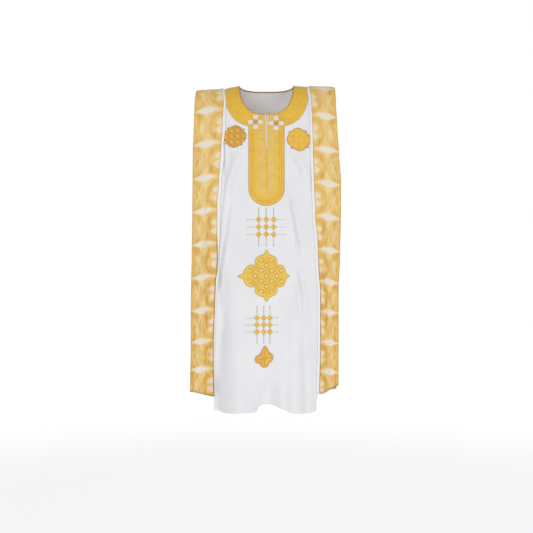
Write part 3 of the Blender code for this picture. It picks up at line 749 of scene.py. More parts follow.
# Ovals of the pattern: its middle across and along a repeat, its radii, and the width of a line along it
CRESCENT = ((-0.14, 0.47), (0.42, 0.30), 0.13)
OUTER_ARC = ((-0.14, 0.47), (0.62, 0.46), 0.18)
INNER_ARC = ((1.06, 0.495), (0.48, 0.40), 0.20)
INNER_LINE = ((1.06, 0.495), (0.60, 0.48), 0.07)
FAR_ARC = ((1.06, 0.495), (0.74, 0.56), 0.12)
PETALS = (((1.05, 0.375), (0.28, 0.125)), ((1.05, 0.620), (0.28, 0.115)))
COLUMN_MIDDLE = 0.46
TICKS_A_REPEAT = 13


def wing_end(side, x, front):
    """Where a wing's hem is along the cloth, which slants up towards its fold."""
    cuff, fold = WING_HEMS[0 if front else 1][side]
    slant = np.clip((np.abs(x) - HEM_SLANT_START) / HEM_SLANT_WIDTH, 0.0, 1.0)
    return path_at(cuff + (fold - cuff) * slant)


def wing_run(side, x, share):
    """Paths from the front hem at share 0 to the back hem at share 1, crowded a little at the shoulder."""
    front, back = wing_end(side, x, True), wing_end(side, x, False)
    even = share * 2 - 1
    spread = even * (1 - SHOULDER_CROWDING + SHOULDER_CROWDING * np.abs(even))
    return np.where(spread < 0, spread * front, spread * back)


def wing_patch(side):
    """A wing's section, swept: under layer from the seam, turn at the fold, and top layer out to the cuff."""
    sign = -1 if side == "left" else 1
    share = np.linspace(0, 1, WING_ROWS_ALONG + 1)[:, None]
    middle = wing_run(side, WING_MIDDLE_X, share)
    down = down_at(middle)
    cuff, fold = wing_width(side + "_cuff", down), wing_width(side + "_fold", down)
    turn_radius = FOLD_RISE / 2
    inner = cuff + SEAM_UNDER_CUFF + SEAM_GAP
    edge = fold - turn_radius - FOLD_SETBACK
    under, turned, top = (np.linspace(0, 1, facets + 1)[None, :] for facets in LAYER_FACETS)
    turned = turned[:, 1:-1]
    angle = np.pi * turned
    x = np.hstack([
        inner + (edge - inner) * under, edge + turn_radius * np.sin(angle), edge + (cuff - edge) * top])
    swell = sum(deep * np.sin(2 * np.pi * turns * middle + start) for turns, start, deep in SWELL_ROWS)
    creases = [(*row[1:], CREASE_GROWTH, CREASE_GROWTH) for row in WING_CREASES if row[0] == side]
    top_rise = FOLD_RISE + (CUFF_RISE - FOLD_RISE) * top + swell * np.sin(np.pi * top) ** SWELL_ROUNDNESS
    rise = np.hstack([0.0 * inner * under, turn_radius * (1 - np.cos(angle)) + 0.0 * share, top_rise])
    path = wing_run(side, x, share)
    up = np.minimum(wing_end(side, x, True) + path, wing_end(side, x, False) - path)
    column = np.arange(x.shape[1])[None, :]
    outside = np.where(column > LAYER_FACETS[0], 1.0, -1.0)
    creased = (path < 0) & (column > LAYER_FACETS[0] + LAYER_FACETS[1])
    rise = rise + np.where(creased, fold_depth(creases, sign * x, down_at(path)), 0.0)
    rise = rise + WING_HEM_STEP * smooth((WING_HEM_DEPTH - up) / WING_HEM_STEP_WIDTH) * outside
    across = np.hstack([-TURN_ACROSS - UNDER_ACROSS * under[:, ::-1], TURN_ACROSS * (2 * turned - 1),
                        TURN_ACROSS + (1 - TURN_ACROSS) * top])
    behind = EYE_PATHS[side][-1] + PATTERN_LENGTH * np.arange(1, PATTERN_REPEATS_BEHIND + 1)
    eyes = np.concatenate([EYE_PATHS[side][:1], EYE_PATHS[side], behind])
    eyes[0] -= PATTERN_LENGTH
    along = np.interp(path, eyes, np.arange(-1, len(eyes) - 1))
    # The last table is painted shade along the hems, darkest at the hem's edge
    return sign * x, path, rise, across + 0.0 * share, along, smooth((WING_HEM_SHADE - up) / WING_HEM_SHADE)


def distance_in(across, along, middle, radii):
    """1 on an oval, below 1 in it and above 1 outside it."""
    flat = (across - middle[0]) * (1 / radii[0])
    tall = (along - middle[1]) * (1 / radii[1])
    return (flat * flat + tall * tall) ** 0.5


def arc(across, along, middle, radii, width):
    """1 along an oval, with soft sides."""
    return abs(distance_in(across, along, middle, radii) - 1.0).fade(width, 0.0)


brocade, tree, shader = finish(
    "gold_brocade", Sheen_Weight=0.25, Sheen_Roughness=0.4, Specular_IOR_Level=0.35)
place, across, along = uv_of(tree, "strip")
across = abs(across) + (speckle(tree, place, 3.2, 2.0) - 0.5) * 0.06
along = along + (speckle(tree, place, 2.1, 2.0, stretch=(1.0, 1.3, 1.0)) - 0.5) * 0.06
step = along.calculate("FRACT")
above = (along + 0.5).calculate("FRACT") - 0.5
upward = above.calculate("GREATER_THAN", 0.0)
wide_bell = (abs((across - 0.50) * 2.9) ** 3 * -1.0).calculate("EXPONENT")
narrow_bell = (((across - COLUMN_MIDDLE) * 3.6) ** 2 * -1.0).calculate("EXPONENT")
beyond = abs(above) - (wide_bell * 0.110 * upward + narrow_bell * 0.125 * (upward * -1.0 + 1.0))
eye = beyond.fade(0.034, -0.030)
eye_core = beyond.fade(0.000, -0.060) * abs(across - 0.47).fade(0.42, 0.20)
crescent = arc(across, step, *CRESCENT) * abs(step - 0.47).fade(0.22, 0.08)
petals = [distance_in(across, step, *oval).fade(1.20, 0.70) for oval in PETALS]
petals = petals[0].calculate("MAXIMUM", petals[1])
arcs = arc(across, step, *INNER_ARC).calculate("MAXIMUM", arc(across, step, *OUTER_ARC))
mottle = speckle(tree, place, 4.5, 3.0, stretch=(1.0, 0.7, 1.0))
streaks = speckle(tree, place, 5.0, 1.0, stretch=(1.6, 0.6, 1.0))
hem_shade = Amount(node(tree, "ShaderNodeAttribute", attribute_name="painted_shade").outputs["Fac"])
ticks = along.wave(1 / TICKS_A_REPEAT).fade(0.1, 0.9)
from_column = abs(across - COLUMN_MIDDLE)
flanks = abs(from_column - 0.24).fade(0.15, 0.0) * streaks.fade(0.42, 0.70)
# Painted shadow along the cuff edge, strongest over the lower wing in front
cuff_edge_shadow = across.fade(0.93, 1.0) * along.fade(4.6, 2.6) * 0.80 + across.fade(0.955, 1.0) * 0.35
weft = along.wave(BROCADE_WEAVE / PATTERN_LENGTH)
warp = across.wave(BROCADE_WEAVE / STRIP_WIDTH)
light = mottle.fade(0.34, 0.64) * 0.55 + from_column.fade(0.30, 0.02) * 0.45
ground = light.mixed(GROUND_MIDDLE, GROUND_LIGHT)
for share, colour in (
    (flanks * 0.60, GROUND_DEEP),
    (arcs * (mottle * 0.7 - 0.08), GROUND_DEEP),
    # Painted crease shade in streaks over the lower wing in front
    (along.fade(6.0, 2.5) * streaks.fade(0.34, 0.72) * 0.50, GROUND_DEEP),
    (arc(across, step, *FAR_ARC) * streaks * 0.7 + arc(across, step, *INNER_LINE) * 0.35, CREAM),
    (ticks * across.fade(0.14, 0.02) * 0.55, GROUND_DEEP),
    (crescent * 0.80, CREAM),
    (petals * 0.85, PALE_CREAM),
    (ticks * across.fade(0.88, 0.97) * 0.30, GROUND_MIDDLE),
    (cuff_edge_shadow, EDGE_SHADOW_BROWN),
    # Painted shade at the outer fold edge, then painted shade along the hems
    (across.fade(0.05, 0.0) * 0.60, GROUND_DEEP),
    (hem_shade * 0.75, EDGE_SHADOW_BROWN),
    (eye * 0.85, CREAM),
    (eye_core * 0.95, EYE_WHITE),
    ((weft * warp).fade(-0.7, 0.9) * 0.16, GROUND_DEEP),
):
    ground = share.mixed(ground, colour)
tree.links.new(ground, shader.inputs["Base Color"])
pale = eye.calculate("MAXIMUM", petals).calculate("MAXIMUM", crescent)
tree.links.new((pale * -0.12 + mottle * 0.10 + 0.46).socket, shader.inputs["Roughness"])
bumped(tree, shader, weft * warp * 0.14 + pale * 0.55 + mottle * 0.35 + arcs * 0.25, 0.0005)

for side in ("left", "right"):
    wing = laid(f"brocade_wing_{side}", [wing_patch(side)], brocade, BROCADE_WALL, "strip")
    fixed(wing, f"wing_{side}")

# White borders: an 8 mm band of white satin folded over each wing's cuff edge and held by a line of running
# stitch. It stands proud of the white breadth, so a dark line of shadow lies beside it.
BORDER_WIDTH = 0.0080
BORDER_TURNED_UNDER = {"left": 0.0050, "right": 0.0015}
BORDER_TURN_START = 0.60
BORDER_TURN_LENGTH = 0.18
BORDER_WALL = 0.0015
BORDER_FACETS = 8
BORDER_CROWN = 0.0006
BORDER_RIPPLE = 0.0002
BORDER_RIPPLE_SPEED = 260
# How low the border's free edge lies, and where it stands off again, as a height below the shoulder line and
# a reach
BORDER_LOW = 0.0017
BORDER_STANDS = {"left": (0.225, 0.050), "right": (0.330, 0.040)}
BORDER_STITCH = (0.0034, 0.0023, 0.00034)
BORDER_STITCH_INSET = 0.0022
BORDER_STITCH_LIFT = 0.0003
SATIN_RIBS = 0.0012
SATIN_WHITE = (0.88, 0.875, 0.87, 1.0)

satin, tree, shader = finish("white_satin", Base_Color=SATIN_WHITE, Sheen_Weight=0.2, Specular_IOR_Level=0.4)
place, across, along = uv_of(tree, "cloth")
ribs = along.wave(SATIN_RIBS)
creases = speckle(tree, place, 120.0, 2.0, stretch=(1.0, 0.5, 1.0))
tree.links.new((creases * 0.2 + 0.30).socket, shader.inputs["Roughness"])
bumped(tree, shader, ribs * 0.12 + creases, 0.0004)

for side, sign in (("left", -1), ("right", 1)):
    share = np.linspace(0, 1, WING_ROWS_ALONG + 1)[:, None]
    over = np.linspace(0, 1, BORDER_FACETS + 1)[None, :]
    down = down_at(wing_run(side, WING_MIDDLE_X, share))
    turned_under = BORDER_TURNED_UNDER[side] * smooth((down - BORDER_TURN_START) / BORDER_TURN_LENGTH)
    x = wing_width(side + "_cuff", down) - SEAM_GAP - (BORDER_WIDTH - turned_under) * over
    path = wing_run(side, x, share)
    stand_down, stand_reach = BORDER_STANDS[side]
    stands = np.exp(-(((down - stand_down) / stand_reach) ** 2)) * (path < 0)
    rise = CUFF_RISE - (CUFF_RISE - BORDER_LOW) * over**2 * (1 - stands)
    rise = rise + BORDER_CROWN * np.sin(np.pi * over) + BORDER_RIPPLE * np.sin(path * BORDER_RIPPLE_SPEED)
    border = laid(f"white_border_{side}", [(sign * x, path, rise, x, path, 0.0)], satin, BORDER_WALL)
    fixed(border, f"border_{side}")
    edge_path = path[:, 0]
    seam = sign * (wing_width(side + "_cuff", down_at(edge_path)) - BORDER_STITCH_INSET)
    stitched(f"border_stitches_{side}", [(seam, edge_path, 0.0)], sewing, "white_border",
             CUFF_RISE + BORDER_WALL / 2 + BORDER_STITCH_LIFT, *BORDER_STITCH)

# Neck band: seven rings of raised satin stitch in gold thread, sewn close together round the neck. Each side
# of the front ends under the bib, and the back reaches over the shoulders to the seams. A darker cord binds
# the neckline, its dark colour also standing in for the shade at the neck's inner edge, and a thinner one
# edges the band.
BAND_HALF_WIDTH = 0.150
BAND_FRONT = 0.202
BAND_BACK = 0.100
BAND_SQUARENESS = 3.0
BAND_SETBACK = 0.001
BAND_RINGS = 7
BAND_CROWDING = 1.5
BAND_POINTS = 90
BIB_HALF_WIDTH = 0.0627
BAND_TUCK = 0.0040
BAND_SINK = 0.0030
ROW_RISE = 0.0013
ROW_FLATNESS = 0.30
ROW_OVERLAP = 1.06
ROW_FACETS = 14
CORD_FLATNESS = 0.85
CORD_FACETS = 8
CORD_RISE = 0.0016
BINDING_HALF_WIDTH = 0.0024
BINDING_START = 0.02
BINDING_SLIT_SETBACK = 0.0010
BINDING_POINTS = 70
EDGE_HALF_WIDTH = 0.0009
EDGE_SINK = 0.0006
BAND_SEAM_HALF_WIDTH = 0.0010
# How far the seams' cords stay clear of the band's inner and outer edges
BAND_SEAM_SETBACKS = (0.0020, 0.0010)
BAND_SEAM_POINTS = 14
# The back band's rings run straight over the shoulders, and their curve starts here
SHOULDER_END = -0.0020
SHOULDER_POINTS = 6
STRAND = 0.00055
# Thread colours: bright and middle tones that vary at random, a valley colour that is painted shade between
# rows, and for gold a turned colour that is painted shade on threads that lie the other way
GOLD_BRIGHT = (0.920, 0.572, 0.056, 1.0)
GOLD_MIDDLE = (0.830, 0.475, 0.039, 1.0)
GOLD_VALLEY_SHADE = (0.480, 0.225, 0.015, 1.0)
GOLD_TURNED_SHADE = (0.720, 0.350, 0.075, 1.0)
DARK_BRIGHT = (0.530, 0.270, 0.025, 1.0)
DARK_MIDDLE = (0.430, 0.200, 0.018, 1.0)
DARK_VALLEY_SHADE = (0.260, 0.110, 0.010, 1.0)

satin_row, given = tree_of("satin_row", (("Flatness", "Float"), ("Facets", "Int"), ("Material", "Material")))
tree = satin_row
curve = node(tree, "GeometryNodeMeshToCurve", {0: given["Geometry"]})
upright = node(tree, "GeometryNodeSetCurveNormal", {0: curve.outputs[0]}, mode="FREE")
tree.links.new(named(tree, "outward", "FLOAT_VECTOR"), upright.inputs["Normal"])
run = node(tree, "GeometryNodeSplineParameter").outputs
measured = node(tree, "GeometryNodeStoreNamedAttribute", {
    0: upright.outputs[0], "Name": "run", "Value": run["Length"]})
ring = node(tree, "GeometryNodeCurvePrimitiveCircle", {"Resolution": given["Facets"], "Radius": 1.0})
marked = node(tree, "GeometryNodeStoreNamedAttribute", {
    0: ring.outputs[0], "Name": "round", "Value": run["Factor"]})
squash = node(tree, "ShaderNodeCombineXYZ", {0: given["Flatness"], 1: 1.0, 2: 1.0})
profile = node(tree, "GeometryNodeTransform", {
    0: marked.outputs[0], "Rotation": (0, 0, np.pi), "Scale": squash.outputs[0]})
swept = node(tree, "GeometryNodeCurveToMesh", {
    0: measured.outputs[0], 1: profile.outputs[0], "Scale": named(tree, "half_width"), "Fill Caps": True})
ways = node(tree, "ShaderNodeCombineXYZ", {0: named(tree, "run"), 1: named(tree, "round")})
mapped = node(tree, "GeometryNodeStoreNamedAttribute", {
    0: swept.outputs[0], "Name": "thread", "Value": ways.outputs[0]}, data_type="FLOAT2", domain="CORNER")
ended(tree, mapped.outputs[0], given["Material"])


def thread(name, bright, middle, valley_shade, turned):
    """Shiny thread, laid side by side across each row. v of its map is 0.5 on a row's crown; away from it, at
    a row's sides and in a relief's grooves, the colour turns to the valley colour as painted shade. Threads
    that lie the other way take the turned colour, a painted shade where it is darker."""
    look, tree, shader = finish(name, Sheen_Weight=0.25, Sheen_Roughness=0.35, Specular_IOR_Level=0.55)
    place, along, round_row = uv_of(tree, "thread")
    coordinates = node(tree, "ShaderNodeTexCoord").outputs["Object"]
    strands = along.wave(STRAND)
    uneven = speckle(tree, place, 900.0, 1.0, stretch=(1.0, 0.003, 1.0))
    cloudy = speckle(tree, coordinates, 45.0, 3.0)
    side = abs(round_row - 0.5)
    painted_shade = Amount(node(tree, "ShaderNodeAttribute", attribute_name="painted_shade").outputs["Fac"])
    # Painted shade on threads that lie the other way, then painted shade at a row's sides and in grooves
    colour = painted_shade.mixed((cloudy * 0.7 + uneven * 0.5).fade(0.35, 0.85).mixed(bright, middle), turned)
    tree.links.new((side.fade(0.13, 0.25) * 0.92).mixed(colour, valley_shade), shader.inputs["Base Color"])
    tree.links.new((uneven * 0.22 + 0.30).socket, shader.inputs["Roughness"])
    bumped(tree, shader, strands * 0.35 + uneven * 0.8, 0.00022)
    return look


def embroidered(name, lines, look, rise=ROW_RISE, flatness=ROW_FLATNESS, facets=ROW_FACETS,
                solid=None):
    """Raised rows of thread along lines on the robe."""
    piece = grown(guides(name, lines, rise), satin_row, Flatness=flatness, Facets=facets, Material=look)
    return fixed(piece, solid)


def corded(name, lines, look, rise=CORD_RISE):
    return embroidered(name, lines, look, rise, CORD_FLATNESS, CORD_FACETS)


def superellipse(half_width, length, squareness, turn):
    """(x, path) on a rounded outline, from its side at turn 0 to its end at a quarter turn."""
    across, along = (np.maximum(part, 0.0) ** (2 / squareness) for part in (np.cos(turn), np.sin(turn)))
    return half_width * across, length * along


def band_outline(front, share):
    """(half width, length, squareness) of a ring of the band, inner edge at share 0, outer edge at 1."""
    lengths = (NECK_FRONT, BAND_FRONT) if front else (NECK_BACK, BAND_BACK)
    inner = np.array((NECK_HALF_WIDTH + BAND_SETBACK, lengths[0] + BAND_SETBACK, NECK_SQUARENESS))
    outer = np.array((BAND_HALF_WIDTH, lengths[1], BAND_SQUARENESS))
    return inner + (outer - inner) * share


def front_ring(share):
    """A ring of the front band from the shoulder seam to the bib, for x above 0."""
    half_width, length, squareness = band_outline(True, share)
    start = np.arcsin(((SHOULDER_SEAM + SEAM_GAP) / length) ** (squareness / 2))
    end = np.arccos(((BIB_HALF_WIDTH - BAND_TUCK) / half_width) ** (squareness / 2))
    turn = start + (end - start) * np.linspace(0, 1, BAND_POINTS) ** BAND_CROWDING
    x, path = superellipse(half_width, length, squareness, turn)
    return x, -path


def back_ring(share):
    """A ring of the back band, from the left shoulder seam round the back to the right one."""
    half_width, length, squareness = band_outline(False, share)
    turn = np.pi / 2 * np.linspace(0, 1, BAND_POINTS) ** BAND_CROWDING
    x, path = superellipse(half_width, length, squareness, turn)
    x = np.append(np.full(SHOULDER_POINTS, half_width), x)
    path = np.append(np.linspace(SEAM_GAP - SHOULDER_SEAM, SHOULDER_END, SHOULDER_POINTS), path)
    return np.concatenate([-x, x[-2::-1]]), np.concatenate([path, path[-2::-1]])


def band_rows(ring, sign=1):
    """The band's rings side by side, each as wide as the room that it has."""
    rows = []
    for number in range(BAND_RINGS):
        near, middle, far = (ring((number + part) / BAND_RINGS) for part in (0.0, 0.5, 1.0))
        width = np.hypot(far[0] - near[0], far[1] - near[1])
        rows.append((sign * middle[0], middle[1], ROW_OVERLAP / 2 * width))
    return rows


gold_thread = thread("gold_thread", GOLD_BRIGHT, GOLD_MIDDLE, GOLD_VALLEY_SHADE, GOLD_TURNED_SHADE)
dark_thread = thread("dark_gold_thread", DARK_BRIGHT, DARK_MIDDLE, DARK_VALLEY_SHADE, DARK_MIDDLE)

# Each row of the front band dips under the bib at its end
band_rise = np.append(np.full(BAND_POINTS - 1, ROW_RISE), ROW_RISE - BAND_SINK)
for side, sign in (("left", -1), ("right", 1)):
    embroidered(f"gold_neck_band_{side}", band_rows(front_ring, sign), gold_thread, band_rise,
                solid=f"neck_band_{side}")
embroidered("gold_neck_band_back", band_rows(back_ring), gold_thread, solid="neck_band_back")

half_neck = np.sin(np.pi / 2 * np.linspace(BINDING_START, 1, BINDING_POINTS))
neck_x = np.maximum(NECK_HALF_WIDTH * half_neck, SLIT_TOP_GAP / 2 + BINDING_SLIT_SETBACK)
neck_share = neck_x / (NECK_HALF_WIDTH + WELD)
neck_path = NECK_FRONT * (1 - neck_share**NECK_SQUARENESS) ** (1 / NECK_SQUARENESS)
inner_setback, outer_setback = BAND_SEAM_SETBACKS
seam_run = np.linspace(NECK_HALF_WIDTH + inner_setback, BAND_HALF_WIDTH - outer_setback, BAND_SEAM_POINTS)
seam_lines = [(sign * seam_run, -SHOULDER_SEAM, BAND_SEAM_HALF_WIDTH) for sign in (-1, 1)]
corded("neck_band_seams", seam_lines, dark_thread)
back_x, back_path = back_ring(0.0)
binding_x = np.concatenate([-neck_x, back_x, neck_x[::-1]])
binding_path = np.concatenate([-neck_path, back_path, -neck_path[::-1]])
# The binding is a cord of its own, and its dark thread is also painted shade along the neck's inner edge
corded("neck_binding", [(binding_x, binding_path, BINDING_HALF_WIDTH)], dark_thread, COTTON_WALL / 2)
front_x, front_path = front_ring(1.0)
edge_lines = [(sign * front_x, front_path, EDGE_HALF_WIDTH) for sign in (-1, 1)]
edge_lines.append((*back_ring(1.0), EDGE_HALF_WIDTH))
corded("neck_band_edge", edge_lines, dark_thread, CORD_RISE - EDGE_SINK)

# Breast bib: nested U rows of gold satin stitch, from the neckline down both sides of the slit and round
# below it. Thin cream cords lie between the inner rows, white ones line the slit, and a dark one edges the
# whole. Two crosses of white satin stitch checks lie at its top, each round a brown one.
BIB_BOTTOM = 0.429
BIB_EDGES = (0.0000, 0.0066, 0.0142, 0.0218, 0.0294, 0.0370, 0.0446, 0.0522, 0.0615)
# Cream cords: distance from the middle, and half width
BIB_CORDS = ((0.0142, 0.0018), (0.0218, 0.0012), (0.0294, 0.0009), (0.0370, 0.0007), (0.0066, 0.0007))
# Points down each side of a row, and round its end
BIB_POINTS = (110, 48)
BIB_EDGE_SETBACK = 0.0008
BIB_SLIT_GAP = 0.0006
SLIT_CORD = 0.0014
SLIT_CORD_OUT = 0.0010
SLIT_CORD_TAPER = (1.15, 0.35)
SLIT_CORD_POINTS = 60
SLIT_CORD_SHORT = 0.0005
# The valley colours are painted shade between rows
CREAM_BRIGHT = (0.930, 0.730, 0.330, 1.0)
CREAM_MIDDLE = (0.890, 0.650, 0.230, 1.0)
CREAM_VALLEY_SHADE = (0.600, 0.370, 0.080, 1.0)
WHITE_BRIGHT = (0.880, 0.820, 0.815, 1.0)
WHITE_MIDDLE = (0.820, 0.745, 0.740, 1.0)
WHITE_VALLEY_SHADE = (0.560, 0.470, 0.400, 1.0)
LINING_BRIGHT = (0.960, 0.930, 0.870, 1.0)
LINING_MIDDLE = (0.940, 0.900, 0.820, 1.0)
LINING_VALLEY_SHADE = (0.860, 0.800, 0.690, 1.0)
CENTRE_BRIGHT = (0.700, 0.390, 0.045, 1.0)
CENTRE_MIDDLE = (0.600, 0.310, 0.032, 1.0)
# Middles of the two crosses of white checks, as x and path
CHECK_PLACES = ((-0.0378, 0.1833), (0.0342, 0.1880))
CHECK_PITCH = 0.0181
CHECK_HALF_SIDE = 0.0084
CHECK_CENTRE_HALF = 0.0060
CHECK_RISE = 0.0028
CHECK_CENTRE_SINK = 0.0001
CHECK_FLATNESS = 0.09
CHECK_POINTS = 9

BIB_CENTRE = path_at(BIB_BOTTOM) - BIB_HALF_WIDTH


def neck_path_at(x):
    """Where the front neckline crosses x, with the band's setback."""
    share = 1 - (x / NECK_HALF_WIDTH) ** NECK_SQUARENESS
    return NECK_FRONT * share ** (1 / NECK_SQUARENESS) + BAND_SETBACK


def u_row(inner, outer):
    """A row of the bib between two distances from the middle, and its half width, kept clear of the slit."""
    top = neck_path_at(max((inner + outer) / 2, SLIT_TOP_GAP / 2))
    run = np.linspace(top, BIB_CENTRE, BIB_POINTS[0])
    near = np.maximum(inner, slit_half_gap(run) + BIB_SLIT_GAP)
    near = np.where(run < SLIT_END, near, inner)
    turn = np.linspace(0, np.pi, BIB_POINTS[1])[1:-1]
    radius = (inner + outer) / 2
    x = np.concatenate([-(near + outer) / 2, -radius * np.cos(turn), (near + outer)[::-1] / 2])
    path = np.concatenate([run, BIB_CENTRE + radius * np.sin(turn), run[::-1]])
    side_half = (outer - near) / 2
    half = np.concatenate([side_half, np.full(turn.shape, (outer - inner) / 2), side_half[::-1]])
    return x, -path, half * ROW_OVERLAP


cream_thread = thread("cream_thread", CREAM_BRIGHT, CREAM_MIDDLE, CREAM_VALLEY_SHADE, CREAM_MIDDLE)
white_thread = thread("white_satin_thread", WHITE_BRIGHT, WHITE_MIDDLE, WHITE_VALLEY_SHADE, WHITE_MIDDLE)
lining_thread = thread("white_lining_thread", LINING_BRIGHT, LINING_MIDDLE, LINING_VALLEY_SHADE, LINING_MIDDLE)
# The brown gold thread takes the dark gold as painted shade at its rows' sides
centre_thread = thread("brown_gold_thread", CENTRE_BRIGHT, CENTRE_MIDDLE, DARK_BRIGHT, CENTRE_MIDDLE)
bib_rows = [u_row(*edges) for edges in zip(BIB_EDGES, BIB_EDGES[1:])]
embroidered("gold_breast_bib", bib_rows, gold_thread, solid="breast_bib")
corded("bib_cream_cords", [(*u_row(edge, edge)[:2], width) for edge, width in BIB_CORDS], cream_thread)
bib_edge = BIB_HALF_WIDTH - BIB_EDGE_SETBACK
corded("bib_edge", [(*u_row(bib_edge, bib_edge)[:2], EDGE_HALF_WIDTH)], dark_thread, CORD_RISE - EDGE_SINK)
slit_path = np.linspace(NECK_FRONT + BAND_SETBACK, SLIT_END - SLIT_CORD_SHORT, SLIT_CORD_POINTS)
taper = np.linspace(*SLIT_CORD_TAPER, SLIT_CORD_POINTS)
slit_x = slit_half_gap(slit_path) + SLIT_CORD_OUT * taper
slit_lines = [(sign * slit_x, -slit_path, SLIT_CORD * taper) for sign in (-1, 1)]
corded("slit_cords", slit_lines, lining_thread)

check_run = np.linspace(-1, 1, CHECK_POINTS)
checks, centres = [], []
for x, path in CHECK_PLACES:
    centres.append((x + CHECK_CENTRE_HALF * check_run, -path, CHECK_CENTRE_HALF))
    for across, along in ((1, 0), (-1, 0), (0, 1), (0, -1)):
        check_x = x + across * CHECK_PITCH + CHECK_HALF_SIDE * check_run
        checks.append((check_x, -path + along * CHECK_PITCH, CHECK_HALF_SIDE))
embroidered("white_checks", checks, white_thread, CHECK_RISE, CHECK_FLATNESS)
embroidered("check_centres", centres, centre_thread, CHECK_RISE - CHECK_CENTRE_SINK, CHECK_FLATNESS)

# Rosettes: two round motifs of basket stitch in gold thread, one on each side of the bib. Each has four full
# petals with a small point between neighbours, and a darker cord round its edge.
ROSETTE_CELL = 0.0105
ROSETTE_STRANDS = 2
ROSETTE_FACETS = (216, 54)
ROSETTE_TIP_HALF = 0.0026
ROSETTE_TIP_PLACE = 0.95
ROSETTE_EDGE_SHARE = 0.97
ROSETTE_EDGE_HALF_WIDTH = 0.0010
# Side, x, height below the shoulder line, radius, turn, depth of the basket stitch and of its painted groove
# shade, and how far the painted shade of its turned threads shows. The right rosette gets less of both, as it
# is more brightly lit.
ROSETTE_ROWS = (
    ("left", -0.1110, 0.183, 0.0405, -0.140, 1.0, 1.0),
    ("right", 0.1126, 0.1935, 0.0418, 0.122, 0.55, 0.35),
)
# Reach of a petal at its sides, what its middle adds, and its bluntness
ROSETTE_PETAL = (0.82, 0.18, 0.7)
# Height of a point between petals, and how narrow it is
ROSETTE_POINT = (0.24, 11)
# Half width of a band of basket stitch, and the length of a cell along it, both in cells
BASKET_BAND = 0.47
BASKET_RUN = 1.4
# Height of a band between crossings, and how much it rises over a band and sinks under one
BASKET_LEVEL = 0.74
BASKET_SWING = 0.26
STRAND_GROOVE = 0.70
STRAND_ROUNDNESS = 0.8
PATCH_WALL = 0.0010
PATCH_RISE = 0.0010
PATCH_HEIGHT = 0.0014
PATCH_BRIM = 0.05
PATCH_BRIM_LEVEL = 0.35
PATCH_EDGE_LIFT = 0.0006
# Painted shade in the grooves of raised motifs, and how bluntly it grows with depth
BAND_SHADE = 0.33
BAND_SHADE_BLUNTNESS = 0.7
SPOT_POINTS = 11
SPOT_END = 0.01
SPOT_FLATNESS = 0.30
SPOT_FACETS = 8


def basket(across, along, cell, strands):
    """Height, position along the threads, and the painted shade of two sets of bands that pass over and under
    each other: the second set, whose threads lie the other way, gets the shade. Each band is that many
    strands side by side."""
    one, other = (across / cell + along / cell) / 2, (across / cell - along / cell) / 2
    over = np.where((np.floor(one) + np.floor(other)) % 2 < 1, 1.0, -1.0)
    crown = [np.sqrt(np.maximum(1 - ((part % 1 - 0.5) / BASKET_BAND) ** 2, 0.0)) for part in (one, other)]
    strand = [np.abs(np.sin(np.pi * strands * part)) ** STRAND_ROUNDNESS for part in (one, other)]
    groove = [1 - STRAND_GROOVE * (1 - part) for part in strand]
    first = crown[0] * (BASKET_LEVEL + BASKET_SWING * over * np.sin(np.pi * (other % 1)) ** 2)
    second = crown[1] * (BASKET_LEVEL - BASKET_SWING * over * np.sin(np.pi * (one % 1)) ** 2)
    upper = first > second
    height = np.where(upper, first * groove[0], second * groove[1])
    return height, np.where(upper, other, one) * cell * BASKET_RUN, np.where(upper, 0.0, 1.0)


def worn(place, across, along, width=1.0, squeeze=0.0, slant=0.0):
    """(x, path) of a motif's points. The cloth draws it in on its right, and may lift it there."""
    return place[0] + across * (1 - squeeze * across / width), along + slant * across - path_at(place[1])


def motif(name, place, outline, relief, facets, look, strength=1.0, turned=0.0, shade_share=1.0, **fit):
    """A raised shape round its middle, whose outline gives the radius at an angle from +X. Its facets are
    counted round it and out to its edge."""
    angle = np.linspace(0, 2 * np.pi, facets[0] + 1)[:, None]
    share = np.linspace(0, 1, facets[1] + 1)[None, :]
    reach = outline(angle) * share
    across, along = reach * np.cos(angle + turned), reach * np.sin(angle + turned)
    height, run, painted_shade = relief(across, along, share)
    brim = smooth((1 - share) / PATCH_BRIM)
    ground = PATCH_RISE * (PATCH_BRIM_LEVEL + (1 - PATCH_BRIM_LEVEL) * brim)
    rise = ground + PATCH_HEIGHT * height * strength * brim
    # v carries painted shade: the lower the relief, the darker; the last table is painted shade on turned
    # threads
    shade = 0.5 + BAND_SHADE * strength * np.maximum(1 - height, 0.0) ** BAND_SHADE_BLUNTNESS
    patch = (*worn(place, across, along, **fit), rise, run, shade, painted_shade * shade_share)
    solid = name.removeprefix("gold_")
    return fixed(laid(name, [patch], look, PATCH_WALL, "thread"), solid)


def outlined(name, place, outline, share, half_width, points=160, turned=0.0, **fit):
    """A dark cord along a motif's outline, drawn in to a share of its size."""
    angle = np.linspace(0, 2 * np.pi, points + 1)
    reach = outline(angle) * share
    across, along = reach * np.cos(angle + turned), reach * np.sin(angle + turned)
    line = (*worn(place, across, along, **fit), half_width)
    return corded(name, [line], dark_thread, PATCH_RISE + PATCH_EDGE_LIFT)


def satin_spot(x, path, half, roundness):
    """A spot of satin stitch, drawn as a row that widens and narrows: a diamond at 1 and a disc at 2."""
    steps = np.linspace(-1, 1, SPOT_POINTS)
    return x + half * steps, path, half * (1 + SPOT_END - np.abs(steps) ** roundness) ** (1 / roundness)


def rosette_outline(angle):
    """The outline of a rosette with a radius of 1."""
    side, middle, bluntness = ROSETTE_PETAL
    height, narrowness = ROSETTE_POINT
    petals = side + middle * np.abs(np.cos(2 * angle)) ** bluntness
    return petals + height * np.maximum(0.0, 1 - np.abs((angle / (np.pi / 2)) % 1 - 0.5) * narrowness)


def rosette_relief(across, along, share):
    return basket(across, along, ROSETTE_CELL, ROSETTE_STRANDS)


